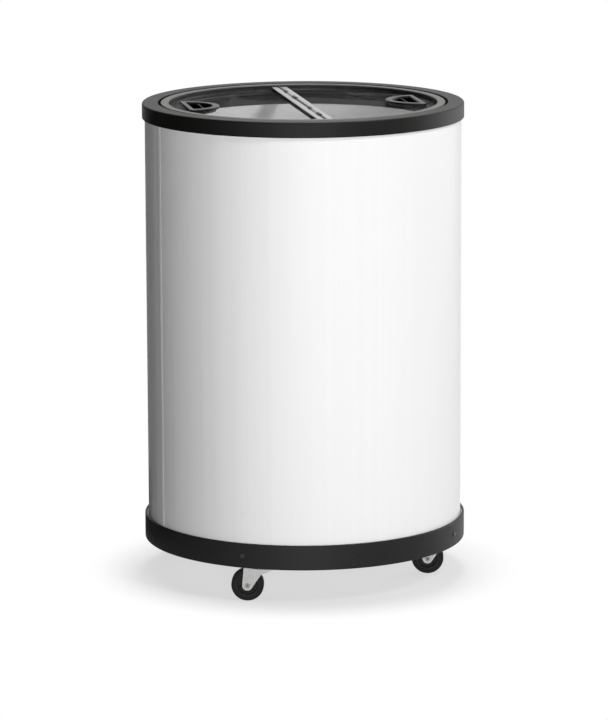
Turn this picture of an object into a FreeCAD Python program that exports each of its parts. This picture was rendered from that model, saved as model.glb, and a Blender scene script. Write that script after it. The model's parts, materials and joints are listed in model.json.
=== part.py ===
import FreeCAD, Part
import math
import os

os.makedirs("parts", exist_ok=True)
V = FreeCAD.Vector
ORIGIN = V(0, 0, 0)
ACROSS = V(1, 0, 0)
BACK = V(0, 1, 0)
UP = V(0, 0, 1)
QUARTER_TURN = 90

# Cylinder freezer: a round foamed tank on four swivel casters, a compressor compartment under the tank
# and two glass half lids hinged on one pin across the top.
# Millimetres and degrees. +Z is up, the floor is z = 0, the front is -Y and the lid hinge lies along Y.
# A bearing is an angle about Z that starts at the front and grows towards +X.

# Fits and clearances
RUN_FIT = 0.06
SEAT_GAP = 0.2
SWING_GAP = 0.4
TYRE_GAP = 0.05
OVERCUT = 1.0

# Casters: wheel, fork, swivel race and top plate
CASTER_INSET = 33.0
CASTER_BEARINGS = (-28.2, 69.4, 151.8, 237.4)
CASTER_HEADINGS = (-102.6, -102.6, -96.0, 139.4)
WHEEL_R = 30.0
WHEEL_W = 22.0
TYRE_T = 7.0
TYRE_EDGE_R = 3.0
HUB_BOSS_R = 8.0
HUB_WEB_T = 8.0
HUB_RIM_T = 4.5
HUB_RIM_INSET = 1.0
HUB_WEB_R = 1.0
WHEEL_SIDE_GAP = 1.2
AXLE_R = 3.0
AXLE_HEAD_R = 4.8
AXLE_HEAD_T = 1.6
AXLE_HEAD_EDGE_R = 0.8
AXLE_DIMPLE_R = 2.6
TRAIL = 26.0
FORK_T = 2.0
LEG_END_R = 9.5
LEG_FRONT_LEAN = 5.0
LEG_BACK_SLOPE = 56.0
LEG_KNEE_DROP = 12.0
LEG_KNEE_R = 14.0
LEG_PAD_T = 0.8
CROWN_R = 24.5
CROWN_T = 2.5
CROWN_EDGE_R = 1.0
CROWN_LIP = 3.5
CROWN_GAP = 2.0
KINGPIN_R = 4.0
RACE_R = 18.0
RACE_NECK_R = 14.0
RACE_H = 8.5
RACE_GAP = 0.5
RACE_EDGE_R = 1.5
CASTER_PLATE_SIDE = 50.0
CASTER_PLATE_T = 2.5
CASTER_PLATE_CORNER_R = 6.0
CASTER_BOLT_PITCH = 36.0
CASTER_BOLT_R = 3.0
CASTER_BOLT_FLATS = 10.0
CASTER_BOLT_HEAD_H = 4.0
CASTER_NUT_H = 5.0

# Base tray, bumper ring and its screws
TRAY_T = 1.5
TRAY_BEND_R = 2.25
TRAY_RIM_H = 35.0
TRAY_VENT_COUNT = 8
TRAY_VENT_LENGTH = 120.0
TRAY_VENT_WIDTH = 7.0
TRAY_VENT_PITCH = 15.0
TRAY_VENT_END_R = 3.4
BASE_RING_REACH = 7.0
BASE_RING_H = 46.0
BASE_RING_EDGE_R = 2.0
BASE_RING_DROP = 9.0
RING_SCREW_BEARING = -32.9
RING_SCREW_COUNT = 4
RING_SCREW_R = 2.5
RING_SCREW_HEAD_R = 4.5
RING_SCREW_HEAD_T = 1.6
RING_SCREW_REACH = 4.0

# Machine compartment
MACHINE_H = 222.5
DECK_T = 1.5
DECK_RIM_H = 15.0
POST_COUNT = 4
POST_LEG = 25.0
POST_T = 2.0
POST_INSET = 33.0
POST_BEARING = 18.4

# Steel wrap and its lap seam
BODY_R = 295.0
WRAP_T = 1.0
WRAP_TUCK = 20.0
SEAM_BEARING = -73.0
SEAM_LAP = 14.0

# Foamed tank
FLOOR_FOAM_T = 52.0
LINER_T = 1.0
TANK_STEP = 1.0
TANK_CORNER_R = 30.0
TANK_DEPTH = 500.5
LINER_FLANGE_W = 12.0
JACKET_T = 1.5
JACKET_BEAD_R = 4.0
JACKET_BEAD_COUNT = 9
JACKET_TOP_GAP = 0.5
JACKET_START = 40.0
JACKET_CREST_R = 2.0
JACKET_ROOT_R = 1.0

# Throat ring and top collar
THROAT_STEP = 7.0
THROAT_T = 3.0
THROAT_H = 17.0
THROAT_FOOT_T = 2.5
COLLAR_REACH = 5.0
COLLAR_H = 28.5
COLLAR_T = 3.0
COLLAR_EDGE_R = 3.5
COLLAR_LIP_R = 1.2
COLLAR_TOP_W = 30.0

# Lid frame and its gasket
LID_GROOVE = 5.0
LID_FRAME_W = 15.0
LID_FRAME_H = 16.5
LID_FRAME_DROP = 0.5
LID_FRAME_EDGE_R = 2.0
LEDGE_W = 14.0
LEDGE_T = 3.5
LEDGE_EDGE_R = 1.0
GASKET_T = 2.0
GASKET_INSET = 1.0
GASKET_EDGE_R = 0.8
GASKET_BAR_W = 6.0

# Glass leaves, hinge rails and the hinge on their common pin
GLASS_T = 5.0
LEAF_GAP = 1.5
RAIL_W = 11.0
RAIL_TOP_T = 2.0
RAIL_EDGE_R = 1.0
RAIL_WEB_T = 2.0
RAIL_FOOT_T = 1.5
PIN_R = 1.75
PIN_SEAT_DEPTH = 8.0
PIN_END_GAP = 0.5
KNUCKLE_R = 3.2
KNUCKLE_LEAF_T = 2.5
KNUCKLE_LENGTH = 54.0
BUSH_LENGTH = 27.0
HINGE_GROUP_Y = 122.0
KNUCKLE_END_GAP = 0.4

# Finger grips: half-round cups set through the glass, straight side outwards
GRIP_R = 64.0
GRIP_INSET = 28.0
GRIP_RIM_W = 8.5
GRIP_RIM_ARC_W = 13.0
GRIP_RIM_H = 4.0
GRIP_RIM_EDGE_R = 1.4
GRIP_LAP = 6.5
GRIP_DEPTH = 8.5
GRIP_FLOOR_T = 1.5
GRIP_CORNER_R = 6.0
GRIP_RIB_T = 2.0
GRIP_RIB_LENGTH = 66.0
GRIP_RIB_H = 7.0
GRIP_RIB_INSET = 20.0

# Rear grille with the thermostat dial and the cable gland
GRILLE_BEARING = 180.0
GRILLE_HALF_ANGLE = 33.0
GRILLE_LAP_ANGLE = 3.0
GRILLE_T = 2.5
GRILLE_RISE = 64.0
GRILLE_HEADROOM = 16.5
GRILLE_LAP = 9.0
GRILLE_CORNER_R = 10.0
GRILLE_SLOT_ROWS = 8
GRILLE_SLOT_MARGIN = 15.0
GRILLE_SLOT_H = 6.0
GRILLE_SLOT_START = 12.5
GRILLE_SLOT_SWEEP = 15.5
GRILLE_HOOD_T = 1.6
GRILLE_HOOD_REACH = 4.0
GRILLE_SCREW_R = 2.0
GRILLE_SCREW_HEAD_R = 3.6
GRILLE_SCREW_HEAD_T = 1.8
GRILLE_SCREW_REACH = 5.0
DIAL_DROP = 44.0
DIAL_CUP_R = 26.0
DIAL_CUP_DEPTH = 15.0
DIAL_CUP_T = 2.0
KNOB_R = 19.0
KNOB_H = 13.0
KNOB_EDGE_R = 1.5
KNOB_SKIRT_W = 3.0
KNOB_SKIRT_H = 2.5
KNOB_SKIRT_RISE = 0.5
KNOB_SKIRT_EDGE_R = 0.8
KNOB_TAPER = 1.0
KNOB_POINTER_W = 1.6
KNOB_POINTER_H = 0.8
KNOB_GRIP_COUNT = 20
KNOB_GRIP_R = 1.6
KNOB_GRIP_H = 9.0
KNOB_SHAFT_R = 3.0
KNOB_SHAFT_L = 12.0
THERMOSTAT_W = 46.0
THERMOSTAT_D = 34.0
THERMOSTAT_H = 40.0
THERMOSTAT_EDGE_R = 3.0
GLAND_RISE = 26.0
GLAND_R = 8.0
GLAND_FLANGE_R = 12.0
GLAND_FLANGE_T = 3.5
GLAND_NUT_T = 4.0
GLAND_BORE_R = 4.5
GLAND_LENGTH = 20.0
GLAND_EDGE_R = 1.0
GLAND_NUT_GAP = 1.0

# Compressor on its rubber mounts
COMPRESSOR_INSET = 207.0
COMPRESSOR_HALF_L = 95.0
COMPRESSOR_HALF_W = 72.0
COMPRESSOR_LOWER_H = 88.0
COMPRESSOR_UPPER_H = 70.0
COMPRESSOR_STEP = 4.0
COMPRESSOR_FLOOR_R = 24.0
COMPRESSOR_DOME_R = 36.0
FOOT_T = 2.5
FOOT_W = 30.0
FOOT_SPACING_X = 110.0
FOOT_SPACING_Y = 124.0
FOOT_END_R = 14.0
GROMMET_R = 11.0
GROMMET_NECK_R = 7.5
GROMMET_BELOW = 12.0
GROMMET_ABOVE = 5.0
GROMMET_BORE_R = 3.3
GROMMET_TOP_STEP = 1.0
GROMMET_EDGE_R = 1.5
STUB_R = 5.5
STUB_REACH = 14.0
STUB_DROP = 42.0
TERMINAL_W = 54.0
TERMINAL_H = 60.0
TERMINAL_D = 26.0
TERMINAL_EDGE_R = 5.0

# Condenser, fan and refrigerant lines
CONDENSER_INSET = 109.0
CONDENSER_L = 226.0
CONDENSER_D = 44.0
CONDENSER_H = 176.0
CONDENSER_LIFT = 6.0
FIN_COUNT = 24
FIN_T = 0.8
END_PLATE_T = 1.5
COIL_TUBE_R = 4.0
COIL_RUNS = 6
COIL_PITCH = 28.0
COIL_END = 8.0
SHROUD_SIDE = 196.0
SHROUD_T = 1.5
SHROUD_LIP = 20.0
SHROUD_GAP = 4.0
FAN_R = 74.0
FAN_TIP_GAP = 5.0
FAN_BLADE_COUNT = 5
FAN_HUB_R = 19.0
FAN_HUB_L = 22.0
FAN_HUB_EDGE_R = 3.0
FAN_ROOT_R = 13.0
FAN_ROOT_CHORD = 20.0
FAN_CHORD = 44.0
FAN_BLADE_T = 2.0
FAN_ROOT_PITCH = 46.0
FAN_TIP_PITCH = 24.0
FAN_SHAFT_R = 3.0
FAN_SHAFT_L = 14.0
MOTOR_R = 31.0
MOTOR_L = 44.0
MOTOR_EDGE_R = 5.0
MOTOR_GAP = 1.0
ARM_COUNT = 4
ARM_W = 9.0
ARM_T = 3.0
ARM_RING_W = 6.0
LINE_R = 4.0
LINE_BEND_R = 14.0
LINE_SIDE = 26.0
LINE_CLEARANCE = 6.0
CAPILLARY_R = 1.6
DRIER_R = 11.0
DRIER_L = 78.0
DRIER_NECK_R = 5.0
DRIER_NECK_L = 12.0
DRIER_EDGE_R = 3.0
DRIER_RISE = 44.0
DECK_HOLE_GAP = 2.0

# Heights that follow from the sizes above
axle_z = WHEEL_R
crown_z = 2 * WHEEL_R + CROWN_GAP
crown_top = crown_z + CROWN_T
race_z = crown_top + RACE_GAP
plate_z = race_z + RACE_H
tray_z = plate_z + CASTER_PLATE_T
tray_top = tray_z + TRAY_T
base_ring_z = tray_z - BASE_RING_DROP
deck_z = tray_top + MACHINE_H
deck_top = deck_z + DECK_T
liner_z = deck_top + FLOOR_FOAM_T
tank_floor = liner_z + LINER_T
flange_top = tank_floor + TANK_DEPTH
flange_z = flange_top - LINER_T
collar_seat_z = flange_top + THROAT_H
collar_seat = collar_seat_z + COLLAR_T
ledge_top = collar_seat + LEDGE_T
glass_z = ledge_top + GASKET_T
glass_top = glass_z + GLASS_T
hinge_z = glass_top + RAIL_TOP_T
lid_frame_top = collar_seat + LID_FRAME_H
collar_top = lid_frame_top + LID_FRAME_DROP
collar_z = collar_top - COLLAR_H
wrap_top = collar_z + WRAP_TUCK
grille_z = tray_top + GRILLE_RISE
grille_top = deck_z - GRILLE_HEADROOM
dial_z = grille_top - DIAL_DROP
gland_z = grille_z + GLAND_RISE

# Radii and places that follow from the wrap's radius, from the outside in
base_ring_r = BODY_R + BASE_RING_REACH
collar_r = BODY_R + COLLAR_REACH
collar_mouth_r = collar_r - COLLAR_TOP_W
lid_frame_r = collar_mouth_r - LID_GROOVE
lid_opening_r = lid_frame_r - LID_FRAME_W
ledge_r = lid_opening_r - LEDGE_W
throat_r = ledge_r + THROAT_STEP
tank_r = throat_r + TANK_STEP
grip_side_x = lid_opening_r - GRIP_INSET
caster_circle_r = BODY_R - CASTER_INSET
post_circle_r = BODY_R - POST_INSET
compressor_x = BODY_R - COMPRESSOR_INSET
condenser_x = CONDENSER_INSET - BODY_R
nest_r = BODY_R + WRAP_T + SEAT_GAP
tray_r = nest_r + TRAY_T
liner_r = tank_r + LINER_T
liner_flange_r = liner_r + LINER_FLANGE_W
jacket_r = liner_r + SEAT_GAP
jacket_bead_r = jacket_r + JACKET_T + JACKET_BEAD_R
foam_inner_r = jacket_bead_r + SEAT_GAP
foam_r = BODY_R - WRAP_T - SEAT_GAP
leaf_r = lid_opening_r - LEAF_GAP
rail_inner = KNUCKLE_R + SWING_GAP
rail_outer = rail_inner + RAIL_W
glass_edge = rail_inner + RAIL_WEB_T + SEAT_GAP
rail_foot_half = ledge_r - LEAF_GAP
grille_r = BODY_R + SEAT_GAP
leg_inner = WHEEL_W / 2 + WHEEL_SIDE_GAP
leg_outer = leg_inner + FORK_T
axle_seat = leg_outer + LEG_PAD_T


def bearing(radius, degrees, z=0.0):
    """Point at a radius from the cabinet's axis on a bearing."""
    angle = math.radians(degrees)
    return V(radius * math.sin(angle), -radius * math.cos(angle), z)


def turned(shape, degrees, centre=ORIGIN, axis=UP):
    """Copy of a shape turned about an axis."""
    copy = shape.copy()
    copy.rotate(centre, axis, degrees)
    return copy


def moved(shape, offset):
    """Copy of a shape shifted by a vector."""
    copy = shape.copy()
    copy.translate(offset)
    return copy


def fused(first, *others):
    """One solid from touching or overlapping ones."""
    return first.fuse(list(others)).removeSplitter()


def corner_arc(before, corner, after, radius):
    """Start, middle and end of the arc that rounds a corner."""
    back = (before - corner).normalize()
    ahead = (after - corner).normalize()
    half = back.getAngle(ahead) / 2
    middle = (back + ahead).normalize()
    reach = radius / math.tan(half)
    bulge = corner + middle * (radius / math.sin(half) - radius)
    return corner + back * reach, bulge, corner + ahead * reach


def outline(corners, place):
    """Closed wire through (u, v, corner radius) points, set in space by place(u, v)."""
    points = [V(u, v, 0) for u, v, radius in corners]
    ends = []
    for i, (u, v, radius) in enumerate(corners):
        if radius:
            ends.append(corner_arc(points[i - 1], points[i], points[(i + 1) % len(points)], radius))
        else:
            ends.append((points[i], None, points[i]))
    edges = []
    for i, (first, bulge, last) in enumerate(ends):
        following = ends[(i + 1) % len(ends)][0]
        if bulge:
            arc = Part.Arc(place(first.x, first.y), place(bulge.x, bulge.y), place(last.x, last.y))
            edges.append(arc.toShape())
        if (following - last).Length > 1e-6:
            edges.append(Part.makeLine(place(last.x, last.y), place(following.x, following.y)))
    return Part.Wire(edges)


def radial_plane(u, v):
    """Radius and height, in the plane that is revolved."""
    return V(u, 0, v)


def ground_plane(u, v):
    """Seen from above."""
    return V(u, v, 0)


def side_plane(u, v):
    """Distance towards the front, and height."""
    return V(0, -u, v)


def revolved(corners, degrees=360):
    """Profile of (radius, height, corner radius) points turned about Z."""
    return Part.Face(outline(corners, radial_plane)).revolve(ORIGIN, UP, degrees)


def ring(inner, outer, low, high):
    """Plain ring between two radii and two heights."""
    return revolved([(inner, low, 0), (outer, low, 0), (outer, high, 0), (inner, high, 0)])


def swept(corners, first, last):
    """Profile of (radius, height, corner radius) points swept from one bearing to another."""
    return turned(revolved(corners, last - first), first - QUARTER_TURN)


def curved_plate(inner, outer, low, high, first, last):
    """Plate bent round the cabinet's axis between two bearings."""
    return swept([(inner, low, 0), (outer, low, 0), (outer, high, 0), (inner, high, 0)], first, last)


def prism(corners, place, height):
    """Outline pushed out along a vector."""
    return Part.Face(outline(corners, place)).extrude(height)


def rounded_plate(length, width, corner_r, low, high):
    """Upright prism on a rectangle with round corners, centred on the axis."""
    u, v = length / 2, width / 2
    corners = [(-u, -v, corner_r), (u, -v, corner_r), (u, v, corner_r), (-u, v, corner_r)]
    return moved(prism(corners, ground_plane, UP * (high - low)), UP * low)


def hexagon(flats, low, high):
    """Upright hexagonal prism on the axis."""
    reach = flats / math.sqrt(3)
    corners = [(reach * math.cos(k * math.pi / 3), reach * math.sin(k * math.pi / 3), 0) for k in range(6)]
    return moved(prism(corners, ground_plane, UP * (high - low)), UP * low)


def rod(radius, start, end):
    """Round bar between two points."""
    return Part.makeCylinder(radius, (end - start).Length, start, end - start)


def aimed(shape, direction, point):
    """Shape made along Z, laid along another direction and set on a point."""
    turn = FreeCAD.Rotation(UP, direction)
    copy = shape.copy()
    copy.Placement = FreeCAD.Placement(point, turn)
    return copy


def pipe(points, radius, bend):
    """Round tube through points, with its corners on arcs of one bend radius."""
    edges = []
    start = points[0]
    for before, corner, after in zip(points, points[1:], points[2:]):
        first, bulge, last = corner_arc(before, corner, after, bend)
        edges.append(Part.makeLine(start, first))
        edges.append(Part.Arc(first, bulge, last).toShape())
        start = last
    edges.append(Part.makeLine(start, points[-1]))
    section = Part.Wire(Part.makeCircle(radius, points[0], points[1] - points[0]))
    return Part.Wire(edges).makePipeShell([section], True, False)


def pan_screw(shank_r, head_r, head_t, length):
    """Screw along Z with its head's seat at z = 0, its head above and its shank below."""
    profile = [
        (0, -length, 0),
        (shank_r, -length, shank_r / 2),
        (shank_r, 0, 0),
        (head_r, 0, 0),
        (head_r, head_t, head_t * 0.7),
        (0, head_t, 0),
    ]
    return revolved(profile)


# Casters, made with the kingpin on Z and the wheel towards the front
def at_caster(shape, spot, heading):
    """Caster piece turned to its heading and set on its kingpin."""
    return moved(turned(shape, heading), bearing(caster_circle_r, spot))


def bolt_spots():
    """Bolt positions on one caster plate."""
    half = CASTER_BOLT_PITCH / 2
    return [V(x, y, 0) for x in (-half, half) for y in (-half, half)]


def caster_plate():
    """Top plate with the pressed swivel race under it."""
    plate = rounded_plate(CASTER_PLATE_SIDE, CASTER_PLATE_SIDE, CASTER_PLATE_CORNER_R, plate_z, tray_z)
    race = revolved([
        (0, race_z, 0),
        (RACE_NECK_R, race_z, 0),
        (RACE_R, race_z + (RACE_R - RACE_NECK_R), RACE_EDGE_R),
        (RACE_R, plate_z, 0),
        (0, plate_z, 0),
    ])
    hole_r = CASTER_BOLT_R + SEAT_GAP
    holes = [rod(hole_r, p + UP * plate_z, p + UP * tray_z) for p in bolt_spots()]
    holes.append(rod(KINGPIN_R + RUN_FIT, UP * race_z, UP * tray_z))
    return fused(plate, race).cut(holes)


def leg_corners():
    """Side view of a fork leg: round end at the axle, leaning front edge, knee up to the crown."""
    low = axle_z - LEG_END_R
    lean = math.radians(LEG_FRONT_LEAN)
    slope = math.radians(LEG_BACK_SLOPE)
    front = TRAIL + LEG_END_R / math.tan((math.pi / 2 - lean) / 2)
    back = TRAIL - LEG_END_R / math.tan((math.pi - slope) / 2)
    knee_z = crown_z - LEG_KNEE_DROP
    knee = back - (knee_z - low) / math.tan(slope)
    chord = math.sqrt(CROWN_R ** 2 - leg_outer ** 2)
    return [
        (front - (crown_top - low) * math.tan(lean), crown_top, 0),
        (front, low, LEG_END_R),
        (back, low, LEG_END_R),
        (knee, knee_z, LEG_KNEE_R),
        (-chord, crown_z - CROWN_LIP, 0),
        (-chord, crown_top, 0),
    ]


def leg_pad_corners():
    """Side view of the raised strip on a leg's outer face, from the axle up to the crown."""
    top, front = leg_corners()[:2]
    back = TRAIL - LEG_END_R
    return [top, front, (back, axle_z - LEG_END_R, LEG_END_R), (back, crown_top, 0)]


def caster_fork():
    """Pressed fork with its kingpin."""
    crown = revolved([
        (0, crown_z, 0),
        (CROWN_R, crown_z, CROWN_EDGE_R),
        (CROWN_R, crown_top, CROWN_EDGE_R),
        (0, crown_top, 0),
    ])
    leg = prism(leg_corners(), side_plane, ACROSS * FORK_T)
    legs = [moved(leg, ACROSS * leg_inner), moved(leg, ACROSS * -leg_outer)]
    pad = prism(leg_pad_corners(), side_plane, ACROSS * LEG_PAD_T)
    pads = [moved(pad, ACROSS * leg_outer), moved(pad, ACROSS * -axle_seat)]
    kingpin = rod(KINGPIN_R, UP * crown_z, UP * (tray_z - RACE_GAP))
    axle = V(axle_seat, -TRAIL, axle_z)
    hole = rod(AXLE_R + SEAT_GAP, axle, axle - ACROSS * (2 * axle_seat))
    return fused(crown, kingpin, *legs, *pads).cut(hole)


def caster_axle():
    """Hollow-ended rivet through both legs."""
    end = axle_seat + AXLE_HEAD_T
    rivet = revolved([
        (0, -axle_seat, 0),
        (AXLE_DIMPLE_R, -end, 0),
        (AXLE_HEAD_R, -end, AXLE_HEAD_EDGE_R),
        (AXLE_HEAD_R, -axle_seat, 0),
        (AXLE_R, -axle_seat, 0),
        (AXLE_R, axle_seat, 0),
        (AXLE_HEAD_R, axle_seat, 0),
        (AXLE_HEAD_R, end, AXLE_HEAD_EDGE_R),
        (AXLE_DIMPLE_R, end, 0),
        (0, axle_seat, 0),
    ])
    return aimed(rivet, ACROSS, V(0, -TRAIL, axle_z))


def caster_hub():
    """Moulded wheel centre with a boss, a thin web and a rim."""
    rim_r = WHEEL_R - TYRE_T
    boss = WHEEL_W / 2 + WHEEL_SIDE_GAP - SWING_GAP
    rim = WHEEL_W / 2 - HUB_RIM_INSET
    web = HUB_WEB_T / 2
    hub = revolved([
        (AXLE_R + RUN_FIT, -boss, 0),
        (HUB_BOSS_R, -boss, 0),
        (HUB_BOSS_R, -web, HUB_WEB_R),
        (rim_r - HUB_RIM_T, -web, HUB_WEB_R),
        (rim_r - HUB_RIM_T, -rim, 0),
        (rim_r, -rim, 0),
        (rim_r, rim, 0),
        (rim_r - HUB_RIM_T, rim, 0),
        (rim_r - HUB_RIM_T, web, HUB_WEB_R),
        (HUB_BOSS_R, web, HUB_WEB_R),
        (HUB_BOSS_R, boss, 0),
        (AXLE_R + RUN_FIT, boss, 0),
    ])
    return aimed(hub, ACROSS, V(0, -TRAIL, axle_z))


def caster_tyre():
    """Tread band with round shoulders."""
    inner = WHEEL_R - TYRE_T + TYRE_GAP
    half = WHEEL_W / 2
    tyre = revolved([
        (inner, -half, 0),
        (WHEEL_R, -half, TYRE_EDGE_R),
        (WHEEL_R, half, TYRE_EDGE_R),
        (inner, half, 0),
    ])
    return aimed(tyre, ACROSS, V(0, -TRAIL, axle_z))


def caster_bolts():
    """Hexagon bolts and nuts that hold the caster plates to the tray."""
    head = hexagon(CASTER_BOLT_FLATS, plate_z - CASTER_BOLT_HEAD_H, plate_z)
    shank = rod(CASTER_BOLT_R, UP * (plate_z - CASTER_BOLT_HEAD_H), UP * (tray_top + CASTER_NUT_H))
    bolt = fused(head, shank)
    nut = hexagon(CASTER_BOLT_FLATS, tray_top, tray_top + CASTER_NUT_H)
    nut = nut.cut(rod(CASTER_BOLT_R + RUN_FIT, UP * tray_top, UP * (tray_top + CASTER_NUT_H)))
    pieces = []
    for spot in CASTER_BEARINGS:
        for p in bolt_spots():
            pieces.append(at_caster(moved(bolt, p), spot, spot))
            pieces.append(at_caster(moved(nut, p), spot, spot))
    return Part.makeCompound(pieces)


# Base
def ring_screw_spots():
    """Bearing of each screw in the bumper ring."""
    return [RING_SCREW_BEARING + k * 360 / RING_SCREW_COUNT for k in range(RING_SCREW_COUNT)]


def ring_screw_holes():
    """Radial clearance holes for the bumper ring's screws."""
    z = base_ring_z + BASE_RING_H / 2
    inner, outer = BODY_R - 2 * WRAP_T, base_ring_r + OVERCUT
    hole_r = RING_SCREW_R + SEAT_GAP
    return [rod(hole_r, bearing(inner, b, z), bearing(outer, b, z)) for b in ring_screw_spots()]


def foot_spots():
    """Centres of the compressor's four mounts."""
    return [
        V(compressor_x + i * FOOT_SPACING_X / 2, j * FOOT_SPACING_Y / 2, 0)
        for i in (-1, 1)
        for j in (-1, 1)
    ]


def base_tray():
    """Sheet pan that carries the machine, with air slots under the condenser."""
    pan = revolved([
        (0, tray_z, 0),
        (tray_r, tray_z, TRAY_BEND_R),
        (tray_r, tray_z + TRAY_RIM_H, 0),
        (nest_r, tray_z + TRAY_RIM_H, 0),
        (nest_r, tray_top, 0),
        (0, tray_top, 0),
    ])
    cuts = ring_screw_holes()
    vent = rounded_plate(TRAY_VENT_WIDTH, TRAY_VENT_LENGTH, TRAY_VENT_END_R, tray_z, tray_top)
    first = condenser_x + CONDENSER_D
    cuts += [moved(vent, ACROSS * (first + k * TRAY_VENT_PITCH)) for k in range(TRAY_VENT_COUNT)]
    for spot in CASTER_BEARINGS:
        for p in bolt_spots():
            hole = rod(CASTER_BOLT_R + SEAT_GAP, p + UP * tray_z, p + UP * tray_top)
            cuts.append(at_caster(hole, spot, spot))
    cuts += [rod(GROMMET_BORE_R, p + UP * tray_z, p + UP * tray_top) for p in foot_spots()]
    return pan.cut(cuts)


def base_ring():
    """Bumper ring round the foot of the cabinet."""
    inner = tray_r + SEAT_GAP
    low, high = base_ring_z, base_ring_z + BASE_RING_H
    band = revolved([
        (inner, low, 0),
        (base_ring_r, low, BASE_RING_EDGE_R),
        (base_ring_r, high, BASE_RING_EDGE_R),
        (inner, high, 0),
    ])
    return band.cut(ring_screw_holes())


def base_ring_screws():
    """Pan-head screws through the ring, the tray's rim and the wrap."""
    z = base_ring_z + BASE_RING_H / 2
    length = base_ring_r - BODY_R + WRAP_T + RING_SCREW_REACH
    screw = pan_screw(RING_SCREW_R, RING_SCREW_HEAD_R, RING_SCREW_HEAD_T, length)
    out = [bearing(1, b) for b in ring_screw_spots()]
    return Part.makeCompound([aimed(screw, d, d * base_ring_r + UP * z) for d in out])


def machine_deck():
    """Round plate with a turned-down rim that carries the foamed tank."""
    outer = foam_r - SEAT_GAP
    inner = outer - DECK_T
    deck = revolved([
        (0, deck_z, 0),
        (inner, deck_z, 0),
        (inner, deck_z - DECK_RIM_H, 0),
        (outer, deck_z - DECK_RIM_H, 0),
        (outer, deck_top, DECK_T),
        (0, deck_top, 0),
    ])
    holes = [
        rod(LINE_R + DECK_HOLE_GAP, suction_points()[-1] - UP * DECK_T, suction_points()[-1]),
        rod(CAPILLARY_R + DECK_HOLE_GAP, capillary_points()[-1] - UP * DECK_T, capillary_points()[-1]),
    ]
    return deck.cut(holes)


def deck_posts():
    """Angle-section uprights from the tray to the deck."""
    corners = [
        (0, 0, POST_T),
        (POST_LEG, 0, 0),
        (POST_LEG, POST_T, 0),
        (POST_T, POST_T, 0),
        (POST_T, POST_LEG, 0),
        (0, POST_LEG, 0),
    ]
    post = turned(prism(corners, ground_plane, UP * MACHINE_H), 45)
    post = moved(post, V(0, -post_circle_r, tray_top))
    return Part.makeCompound([turned(post, POST_BEARING + k * 360 / POST_COUNT) for k in range(POST_COUNT)])


# Cabinet shell, foam and tank
def outer_wrap():
    """Coated sheet rolled round the cabinet, one edge lapped over the other."""
    sheet = ring(BODY_R - WRAP_T, BODY_R, tray_top, wrap_top)
    root = BODY_R - WRAP_T / 2
    sweep = math.degrees(SEAM_LAP / BODY_R)
    step, run_out = SEAM_BEARING, SEAM_BEARING - sweep
    inner_arc = Part.Arc(bearing(root, step), bearing(root, (step + run_out) / 2), bearing(root, run_out))
    crest = bearing(BODY_R + WRAP_T * 0.75, (step + run_out) / 2)
    outer_arc = Part.Arc(bearing(root, run_out), crest, bearing(BODY_R + WRAP_T, step))
    end = Part.makeLine(bearing(BODY_R + WRAP_T, step), bearing(root, step))
    lap = Part.Face(Part.Wire([inner_arc.toShape(), outer_arc.toShape(), end]))
    lap = moved(lap.extrude(UP * (wrap_top - tray_top)), UP * tray_top)
    half = GRILLE_HALF_ANGLE - GRILLE_LAP_ANGLE
    window = curved_plate(
        BODY_R - 2 * WRAP_T,
        BODY_R + WRAP_T,
        grille_z + GRILLE_LAP,
        grille_top - GRILLE_LAP,
        GRILLE_BEARING - half,
        GRILLE_BEARING + half,
    )
    return fused(sheet, lap).cut([window] + ring_screw_holes() + grille_screw_holes())


def insulation_foam():
    """Foam between the tank and the wrap, stepped for the liner's flange and the throat ring."""
    step = liner_flange_r + SEAT_GAP
    return revolved([
        (0, deck_top, 0),
        (foam_r, deck_top, 0),
        (foam_r, collar_seat_z, 0),
        (step, collar_seat_z, 0),
        (step, flange_z, 0),
        (foam_inner_r, flange_z, 0),
        (foam_inner_r, liner_z, 0),
        (0, liner_z, 0),
    ])


def tank_liner():
    """Drawn round tank with a rolled-out top flange."""
    return revolved([
        (0, liner_z, 0),
        (liner_r, liner_z, TANK_CORNER_R + LINER_T),
        (liner_r, flange_z, 0),
        (liner_flange_r, flange_z, 0),
        (liner_flange_r, flange_top, 0),
        (tank_r, flange_top, 0),
        (tank_r, tank_floor, TANK_CORNER_R),
        (0, tank_floor, 0),
    ])


def evaporator_jacket():
    """Sheet round the tank with raised refrigerant channels."""
    skin = jacket_r + JACKET_T
    low = liner_z + JACKET_START
    high = flange_z - JACKET_TOP_GAP
    pitch = (high - low) / (JACKET_BEAD_COUNT + 1)
    corners = [(jacket_r, high, 0), (jacket_r, low, 0), (skin, low, 0)]
    for k in range(JACKET_BEAD_COUNT):
        z = low + (k + 1) * pitch
        corners += [
            (skin, z - 2 * JACKET_BEAD_R, JACKET_ROOT_R),
            (jacket_bead_r, z - JACKET_BEAD_R, JACKET_CREST_R),
            (jacket_bead_r, z + JACKET_BEAD_R, JACKET_CREST_R),
            (skin, z + 2 * JACKET_BEAD_R, JACKET_ROOT_R),
        ]
    return revolved(corners + [(skin, high, 0)])


def throat_ring():
    """Dark breaker ring between the tank's flange and the collar's seat."""
    wall = throat_r + THROAT_T
    return revolved([
        (throat_r, flange_top, 0),
        (liner_flange_r, flange_top, 0),
        (liner_flange_r, flange_top + THROAT_FOOT_T, 0),
        (wall, flange_top + THROAT_FOOT_T, 0),
        (wall, collar_seat_z, 0),
        (throat_r, collar_seat_z, 0),
    ])


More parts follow.
